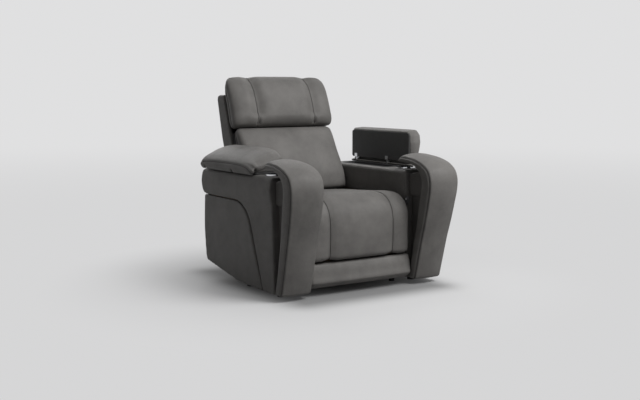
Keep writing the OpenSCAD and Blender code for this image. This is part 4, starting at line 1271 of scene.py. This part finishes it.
@dataclass
class BackRest:
    """The back cushion, the headrest and the shell behind them."""

    LUMBAR_SHARES = (
        (0.74, 0, 0.15, 0.086, 0.952, 0), (0.92, 0.011, 0, 0.092, 0.99, 0.3), (1, 0.146, 0, 0.173, 1, 1),
        (0.985, 0.389, 0, 0.389, 0.986, 1), (0.85, 0.578, 0, 0.578, 0.986, 1),
        (0.715, 0.765, 0, 0.741, 0.997, 1), (0.61, 0.897, 0, 0.876, 1, 0.6),
        (0.53, 0.965, 0.015, 0.968, 0.986, 0.2), (0.41, 0.997, 0.106, 1, 0.952, 0),
    )
    HEADREST_SHARES = (
        (0.6, 0, 0.198, 0.007, 0.946, 0), (0.79, 0.022, 0.04, 0.029, 0.983, 0.2),
        (0.93, 0.094, 0, 0.086, 1, 0.7), (1, 0.288, 0, 0.324, 1, 1), (1, 0.522, 0, 0.504, 0.997, 1),
        (0.88, 0.763, 0.03, 0.701, 0.997, 1),
        (0.68, 0.9, 0.129, 0.849, 0.98, 0.7), (0.55, 0.964, 0.178, 0.906, 0.949, 0.35),
        (0.42, 1, 0.257, 0.95, 0.9, 0),
    )
    # Where round the section the boxing seams lie, and from where to where along the form
    BOXING_SHARES = (0.35, 0.65)
    BOXING_ENDS = (0.04, 0.96)
    # The points of a tuck's line along which it is drawn in
    HOLLOW_PART = slice(22, -16)
    GROOVE_PART = slice(10, -5)
    # The middle height and the reach of the shell's padding, and of the stretch beside the lids
    SHELL_BAND = (0.62, 0.62)
    LID_BAND = (0.61, 0.13)

    wardrobe: Wardrobe
    inflater: Inflater
    tuck_x: float = 0.178
    tuck_shift: float = 0.005
    tuck_hollow: Press = Press(0.02, 0.034)
    tuck_groove: Press = Press(0.01, 0.009)
    tuck_cord: Cord = Cord(0.0022, -0.0002)
    lumbar_groove: Press = Press(0.003, 0.005)
    headrest_groove: Press = Press(0.0025, 0.005)
    edge_cord: Cord = Cord(0.0019, 0.0004)
    shell_side: float = 0.006
    shell_rear: float = 0.005
    shell_flat: float = 0.9

    def build(self) -> list[Object]:
        """Builds the three padded pieces and their seams.

        Returns:
            The pieces.
        """
        return [*self._lumbar(), *self._headrest(), self._shell()]

    def _piped(self, form: SoftPiece, pad: Object, groove: Press, name: str) -> Object:
        """Presses and pipes the boxing seams along a cushion's two sides.

        Args:
            form: The cushion's form.
            pad: The cushion.
            groove: How the seams draw its skin in.
            name: The piping's name.

        Returns:
            The piping.
        """
        skin = Surface(pad)
        laid = [skin.lay(form.line(share, *self.BOXING_ENDS))[0] for share in self.BOXING_SHARES]
        press_seams(pad, laid, groove)
        return piping(name, Surface(pad), laid, self.edge_cord)

    def _lumbar(self) -> list[Object]:
        """Builds the back cushion.

        Returns:
            The cushion and its boxing seams.
        """
        rows = back_rows(self.LUMBAR_SHARES, LUMBAR)
        form = SoftPiece("back_pad", rows, PLAIN_SECTION, 6, 5)
        pad = form.build()
        self.inflater.plump(pad, held_edge(LUMBAR))
        edge = self._piped(form, pad, self.lumbar_groove, "back_pad_piping")
        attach(pad, "back")
        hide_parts("back_cushion")
        self.wardrobe.dress(pad, HIDE)
        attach(edge, "back")
        self.wardrobe.dress(edge, SEAM_SHADE)
        return [pad, edge]

    def _headrest(self) -> list[Object]:
        """Builds the headrest with its two tucked seams.

        Returns:
            The headrest and its seams.
        """
        rows = back_rows(self.HEADREST_SHARES, HEADREST)
        form = SoftPiece("headrest_pad", rows, HEADREST_SECTION, 6, 5)
        pad = form.build()
        self.inflater.plump(pad, held_edge(HEADREST))
        fine = spline(rows, 8)
        skin = Surface(pad)
        laid = []
        for side in Side:
            x = np.full(len(fine), side.value * self.tuck_x + self.tuck_shift)
            line = np.stack([x, fine[:, 0] - ORIGIN_Y, fine[:, 1]], axis=-1)
            laid.append(skin.lay(line)[0])
        press_seams(pad, [line[self.HOLLOW_PART] for line in laid], self.tuck_hollow)
        press_seams(pad, [line[self.GROOVE_PART] for line in laid], self.tuck_groove)
        thread = piping("headrest_seams", Surface(pad), laid, self.tuck_cord)
        edge = self._piped(form, pad, self.headrest_groove, "headrest_piping")
        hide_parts("headrest_cushion")
        for piece, finish in ((pad, HIDE), (thread, SEAM_SHADE), (edge, SEAM_SHADE)):
            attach(piece, "headrest")
            self.wardrobe.dress(piece, finish)
        return [pad, thread, edge]

    def _shell(self) -> Object:
        """Builds the padded cover of the back shell.

        Returns:
            The cover.
        """
        cover = remeshed("shell_cover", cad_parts["back_shell"], COVER_CELL)
        smoothen(cover, 4)

        def puff(co: Vector, normal: Vector) -> Vector:
            """How far the padding moves one point, which is less beside the lids.

            Args:
                co: The point.
                normal: The skin's direction there.

            Returns:
                The move.
            """
            beside_lid = 1 - self.shell_flat * band_of(co.z, *self.LID_BAND)
            side = self.shell_side * normal.x * band_of(co.z, *self.SHELL_BAND) * beside_lid
            return Vector((side, self.shell_rear * max(0.0, normal.y), 0))

        sculpt(cover, puff)
        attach(cover, "back")
        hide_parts("back_shell")
        return self.wardrobe.dress(cover, HIDE)


@dataclass
class Arm:
    """One arm: shoulder, lower cover, neck, front band and lid."""

    # The band from its foot over to its end: y and z of its front and its rear as shares of its reach and
    # rise, then how far it is puffed up, leans out, stands forward and is raised, in metres
    BAND_ROWS = (
        (-0.04, 0, 0.42, 0.001, 0, 0, 0, 0),
        (-0.27, 0.184, 0.18, 0.171, 0.001, 0, 0.002, 0),
        (-0.45, 0.341, 0.04, 0.291, 0.002, 0.001, 0.006, 0),
        (-0.62, 0.494, -0.17, 0.447, 0.004, 0.003, 0.012, 0),
        (-0.75, 0.646, -0.31, 0.601, 0.006, 0.005, 0.018, 0),
        (-0.815, 0.758, -0.44, 0.714, 0.008, 0.007, 0.022, 0.002),
        (-0.785, 0.83, -0.51, 0.79, 0.009, 0.007, 0.023, 0.006),
        (-0.62, 0.893, -0.43, 0.863, 0.009, 0.006, 0.022, 0.01),
        (-0.3, 0.94, -0.2, 0.91, 0.009, 0.005, 0.015, 0.01),
        (0.1, 0.974, 0.18, 0.947, 0.008, 0.004, 0.004, 0.007),
        (0.58, 0.993, 0.63, 0.956, 0.006, 0.003, 0, 0.004),
        (1.05, 1, 1.05, 0.96, 0.004, 0.001, 0, 0.001),
        (1.28, 0.982, 1.28, 0.962, 0.002, 0, 0, 0),
    )
    # The piped crease round the right lid's edge: x, y and z of its points, in metres
    CREASE = (
        (0.4985, 0.784, 0.612), (0.4988, 0.72, 0.619), (0.499, 0.62, 0.623), (0.499, 0.536, 0.625),
        (0.499, 0.44, 0.625), (0.499, 0.359, 0.622), (0.4988, 0.31, 0.617), (0.498, 0.277, 0.609),
        (0.496, 0.25, 0.594), (0.492, 0.236, 0.580), (0.474, 0.232, 0.582), (0.457, 0.232, 0.590),
        (0.423, 0.232, 0.606), (0.390, 0.234, 0.630), (0.356, 0.24, 0.643), (0.325, 0.252, 0.648),
        (0.305, 0.275, 0.651),
    )
    # Where round the section the band's two piped edges lie
    BAND_EDGES = (0.25, 0.75)
    # How much of the puff also goes forward, and how much of the crown the band's foot has
    PUFF_AHEAD = 0.8
    FOOT_CROWN = 0.5
    # The middle height, the reach and the depth of the padding on the arm's outer side
    SHOULDER_SWELL = (0.512, 0.07, 0.010)
    COVER_SWELL = (0.26, 0.26, 0.006)

    wardrobe: Wardrobe
    side: Side
    band_groove: Press = Press(0.0065, 0.006)
    band_cord: Cord = Cord(0.0021, -0.0004)
    lid_groove: Press = Press(0.003, 0.0055)
    lid_cord: Cord = Cord(0.0019, 0.0002)

    def build(self) -> list[Object]:
        """Builds every padded piece of the arm.

        Returns:
            The pieces.
        """
        return [*self._covers(), *self._band(), *self._lid()]

    def _name(self, word: str) -> str:
        """A piece's name on this side."""
        return f"{self.side.word}_{word}"

    def _swell(self, middle: float, reach: float, depth: float) -> Callable[[Vector, Vector], Vector]:
        """Makes the move that pads a cover on the arm's outer side.

        Args:
            middle: The height at which the padding is thickest.
            reach: How far above and below it the padding ends.
            depth: Its thickness there.

        Returns:
            A function of a point and its normal that gives the point's move.
        """
        sign = self.side.value
        return lambda co, normal: Vector(
            (sign * band_of(co.z, middle, reach) * depth * max(0.0, normal.x * sign), 0, 0)
        )

    def _covers(self) -> list[Object]:
        """Builds the shoulder, the lower cover and the neck.

        Returns:
            The three covers.
        """
        pieces = []
        for word, finish, move in (
            ("shoulder", HIDE, self._swell(*self.SHOULDER_SWELL)),
            ("lower_cover", HIDE, self._swell(*self.COVER_SWELL)),
            ("neck", SHADOW_HIDE, None),
        ):
            node = self._name(word)
            cover = remeshed(node + "_pad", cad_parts[node], COVER_CELL)
            smoothen(cover, 5)
            if move:
                sculpt(cover, move)
            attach(cover, "base")
            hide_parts(node)
            pieces.append(self.wardrobe.dress(cover, finish))
        return pieces

    def _band(self) -> list[Object]:
        """Builds the curved band on the front of the arm.

        Returns:
            The band and its piped edges.
        """
        middle = self.side.value * ARM_MID
        rows = [
            (front_y * BAND_REACH - self.PUFF_AHEAD * puff - ahead, FLOOR_GAP + front_z * BAND_RISE + up,
             rear_y * BAND_REACH, FLOOR_GAP + rear_z * BAND_RISE,
             BAND_WIDTH / 2 + puff, BAND_CROWN * (1.0 if i else self.FOOT_CROWN),
             middle + self.side.value * out)
            for i, (front_y, front_z, rear_y, rear_z, puff, out, ahead, up) in enumerate(self.BAND_ROWS)
        ]
        form = SoftPiece(self._name("band_pad"), rows, BAND_SECTION, 7, 5)
        pad = form.build()
        subdivide(pad)
        edges = [form.line(share) for share in self.BAND_EDGES]
        press_seams(pad, edges, self.band_groove)
        cord = piping(self._name("band_piping"), Surface(pad), edges, self.band_cord)
        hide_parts(self._name("front_band"))
        for piece, finish in ((pad, HIDE), (cord, SEAM_SHADE)):
            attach(piece, "base")
            self.wardrobe.dress(piece, finish)
        return [pad, cord]

    def _lid(self) -> list[Object]:
        """Builds the padded lid of the storage bin.

        Returns:
            The lid's pad and the piping along its edge.
        """
        node = self._name("lid_pad")
        pad = remeshed(node + "_cover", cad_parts[node], LID_CELL)
        smoothen(pad, 3)
        crease = np.array(spline(self.CREASE, 5)) * np.array([self.side.value, 1.0, 1.0])
        crease[:, 1] -= ORIGIN_Y
        laid = Surface(pad).lay(crease)[0]
        press_seams(pad, [laid], self.lid_groove)
        cord = piping(node + "_piping", Surface(pad), [laid], self.lid_cord)
        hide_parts(node)
        for piece, finish in ((pad, HIDE), (cord, SEAM_SHADE)):
            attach(piece, self._name("lid"))
            self.wardrobe.dress(piece, finish)
        return [pad, cord]


class Hardware:
    """The rigid nodes that the frame carries over, and their finishes."""

    NODES: dict[Finish, tuple[str, ...]] = {
        BLACK_STEEL: (
            "base_frame", "side_plates", "back_frame", "footrest_brackets", "drive_tube", "drive_links",
            "arm_bolts",
        ),
        RUBBER: ("base_feet", "arm_feet"),
        ZINC: (
            "pivot_bolts", "seat_springs", "headrest_bar", "recline_rod",
            *both_sides("hinge_leaf", "lid_strap"),
        ),
        CHROME: (
            "recline_button", "upright_button", "legs_up_button", "legs_down_button",
            *both_sides("cup", "cup_ring"),
        ),
        PLYWOOD: ("seat_deck", "footrest_board", *both_sides("arm_frame")),
        LINING_CLOTH: ("headrest_board",),
        BLACK_PLASTIC: (
            "footrest_motor", "recline_motor", "power_inlet", "control_panel", *both_sides("bin"),
        ),
        LID_LINING: both_sides("lid_board"),
        WEBBING: ("back_webbing",),
    }

    def __init__(self, wardrobe: Wardrobe) -> None:
        """Keeps the wardrobe that the finishes come from."""
        self.wardrobe = wardrobe

    def dress(self) -> int:
        """Gives each shown node its finish.

        Returns:
            How many nodes were dressed.
        """
        for finish, names in self.NODES.items():
            for name in names:
                self.wardrobe.paint(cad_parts[name], finish)
        return sum(map(len, self.NODES.values()))


@dataclass
class Lamp:
    """One soft light of the studio."""

    name: str
    place: tuple[float, float, float]
    aim: tuple[float, float, float]
    size: tuple[float, float]
    power: float

    def build(self) -> None:
        """Adds the light to the scene."""
        data = bpy.data.lights.new(self.name, "AREA")
        data.shape = "RECTANGLE"
        data.size, data.size_y = self.size
        data.energy = self.power
        lamp = linked(self.name, data)
        lamp.visible_camera = False
        lamp.location = self.place
        lamp.rotation_euler = (Vector(self.aim) - Vector(self.place)).to_track_quat("-Z", "Y").to_euler()


@dataclass
class Studio:
    """Camera, floor, backdrop and light."""

    eye: tuple[float, float, float] = (-2.7068, -4.1902, 0.9946)
    yaw: float = 33.0
    pitch: float = -6.65
    lens: float = 53.98
    film_width: float = 36.0
    backdrop: Colour = (0.745, 0.745, 0.75)
    floor_tone: Colour = (0.74, 0.74, 0.745)
    bounce_tone: Colour = (0.32, 0.32, 0.322)
    far_tone: Colour = (0.672, 0.672, 0.677)
    paler_reach: tuple[float, float] = (3.0, 13.0)
    share_reach: tuple[float, float] = (0.15, 1.5)
    floor_radius: float = 60.0
    contact_shift: Row = (0.0, 0.02, 0.0)
    contact_half: Row = (0.38, 0.47, 0.0)
    lamps: tuple[Lamp, ...] = (
        Lamp("key_light", (1.35, -2.9, 3.5), (0.0, 0.0, 0.4), (2.2, 2.2), 172.0),
        Lamp("top_light", (0.8, 0.3, 4.4), (0.0, 0.0, 0.4), (3.2, 3.2), 16.0),
        Lamp("rear_light", (0.5, 3.6, 2.9), (0.0, 0.2, 0.6), (2.4, 2.4), 48.0),
    )
    world_strength: float = 0.1

    def build(self) -> None:
        """Sets up the whole studio."""
        self._camera()
        self._world()
        self._floor()
        for lamp in self.lamps:
            lamp.build()
        bpy.context.scene.view_settings.view_transform = "Standard"

    def _camera(self) -> None:
        """Places the camera where the photograph was taken from."""
        data = bpy.data.cameras.new("camera")
        data.lens = self.lens
        data.sensor_width = self.film_width
        data.clip_end = 100.0
        camera = linked("camera", data)
        yaw, pitch = math.radians(self.yaw), math.radians(self.pitch)
        way = Vector((math.sin(yaw) * math.cos(pitch), math.cos(yaw) * math.cos(pitch), math.sin(pitch)))
        camera.location = self.eye
        camera.rotation_euler = way.to_track_quat("-Z", "Y").to_euler()
        bpy.context.scene.camera = camera

    def _world(self) -> None:
        """Makes an even pale surround that also shows in reflections."""
        world = bpy.data.worlds.new("surround")
        world.use_nodes = True
        bpy.context.scene.world = world
        tree = world.node_tree
        lit = tree.nodes["Background"]
        lit.inputs["Color"].default_value = (1.0, 1.0, 1.0, 1.0)
        lit.inputs["Strength"].default_value = self.world_strength
        seen = add_node(tree, "Background", Color=(*self.backdrop, 1.0))
        mix = add_node(tree, "MixShader")
        wire(
            tree,
            (*self._seen_directly(tree), mix, "Fac"), (lit, "Background", mix, 1),
            (seen, "Background", mix, 2), (mix, "Shader", tree.nodes["World Output"], "Surface"),
        )

    @staticmethod
    def _seen_directly(tree: NodeTree) -> Pin:
        """Adds a mask that is 1 for camera, glossy and transmission rays.

        Args:
            tree: The tree of the surround or the floor.

        Returns:
            The mask.
        """
        path = add_node(tree, "LightPath")
        first = add_node(tree, "Math", operation="MAXIMUM")
        both = add_node(tree, "Math", operation="MAXIMUM")
        wire(
            tree,
            (path, "Is Camera Ray", first, 0), (path, "Is Transmission Ray", first, 1),
            (first, "Value", both, 0), (path, "Is Glossy Ray", both, 1),
        )
        return both, "Value"

    def _floor(self) -> None:
        """Makes the round floor that the seat stands on."""
        bm = bmesh.new()
        bmesh.ops.create_circle(bm, cap_ends=True, cap_tris=False, segments=96, radius=self.floor_radius)
        floor = new_object("studio_floor", bm, smooth=False)
        floor.data.materials.append(self._floor_material())

    def _floor_material(self) -> Material:
        """Makes the floor's material, which turns into the backdrop's tone far from the seat.

        Returns:
            The material.
        """
        material = bpy.data.materials.new("studio_floor")
        material.use_nodes = True
        tree = material.node_tree
        shader = tree.nodes["Principled BSDF"]
        shader.inputs["Roughness"].default_value = 0.85
        shader.inputs["Specular IOR Level"].default_value = 0.15
        # Painted shadow: this mask darkens the floor's colour round the seat
        seen, contact_shadow = self._seen_directly(tree), self._contact(tree)
        tone = add_node(tree, "Mix", {6: (*self.bounce_tone, 1.0)}, data_type="RGBA")
        dimmed = add_node(tree, "VectorMath", {0: self.floor_tone}, operation="SCALE")
        place = add_node(tree, "TexCoord")
        away = add_node(tree, "VectorMath", operation="LENGTH")
        paler, share = (
            add_node(tree, "MapRange", interpolation_type="SMOOTHSTEP", From_Min=near, From_Max=far_off)
            for near, far_off in (self.paler_reach, self.share_reach)
        )
        pale = add_node(tree, "Mix", {6: (*self.far_tone, 1.0), 7: (*self.backdrop, 1.0)}, data_type="RGBA")
        far = add_node(tree, "Emission")
        clear, both = (add_node(tree, "Math", operation="MULTIPLY") for _ in range(2))
        mix = add_node(tree, "MixShader")
        wire(
            tree,
            (*contact_shadow, dimmed, "Scale"), (*seen, tone, "Factor"), (dimmed, "Vector", tone, 7),
            (tone, 2, shader, "Base Color"), (place, "Object", away, 0), (away, "Value", paler, "Value"),
            (paler, "Result", pale, "Factor"), (pale, 2, far, "Color"), (away, "Value", share, "Value"),
            (share, "Result", clear, 0), (*contact_shadow, clear, 1), (clear, "Value", both, 0), (*seen, both, 1),
            (both, "Value", mix, "Fac"), (shader, "BSDF", mix, 1), (far, "Emission", mix, 2),
            (mix, "Shader", tree.nodes["Material Output"], "Surface"),
        )
        return material

    def _contact(self, tree: NodeTree) -> Pin:
        """Adds a painted shadow on the floor: a mask that darkens it softly where the seat stands.

        Args:
            tree: The floor material's tree.

        Returns:
            The level, 1 away from the seat.
        """
        place = add_node(tree, "TexCoord")
        moved = add_node(tree, "VectorMath", {1: self.contact_shift}, operation="ADD")
        sides = add_node(tree, "VectorMath", operation="ABSOLUTE")
        out = add_node(tree, "VectorMath", {1: self.contact_half}, operation="SUBTRACT")
        above = add_node(tree, "VectorMath", operation="MAXIMUM")
        length = add_node(tree, "VectorMath", operation="LENGTH")
        level = add_node(
            tree, "MapRange", interpolation_type="SMOOTHERSTEP", From_Min=-0.06, From_Max=0.24, To_Min=0.31,
        )
        wire(
            tree,
            (place, "Object", moved, 0), (moved, "Vector", sides, 0), (sides, "Vector", out, 0),
            (out, "Vector", above, 0), (above, "Vector", length, 0), (length, "Value", level, "Value"),
        )
        return level, "Result"


def main() -> None:
    """Builds the studio and dresses every part of the seat."""
    logging.basicConfig(level=logging.INFO, format="%(name)s: %(message)s")
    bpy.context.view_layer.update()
    Studio().build()
    wardrobe = Wardrobe()
    inflater = Inflater()
    LOG.info("%d carried-over nodes dressed", Hardware(wardrobe).dress())
    pieces = Chaise(wardrobe, inflater).build()
    pieces += BackRest(wardrobe, inflater).build()
    for side in Side:
        pieces += Arm(wardrobe, side).build()
    for piece in pieces:
        LOG.info("%s: %d points", piece.name, len(piece.data.vertices))


if __name__ == "__main__":
    main()
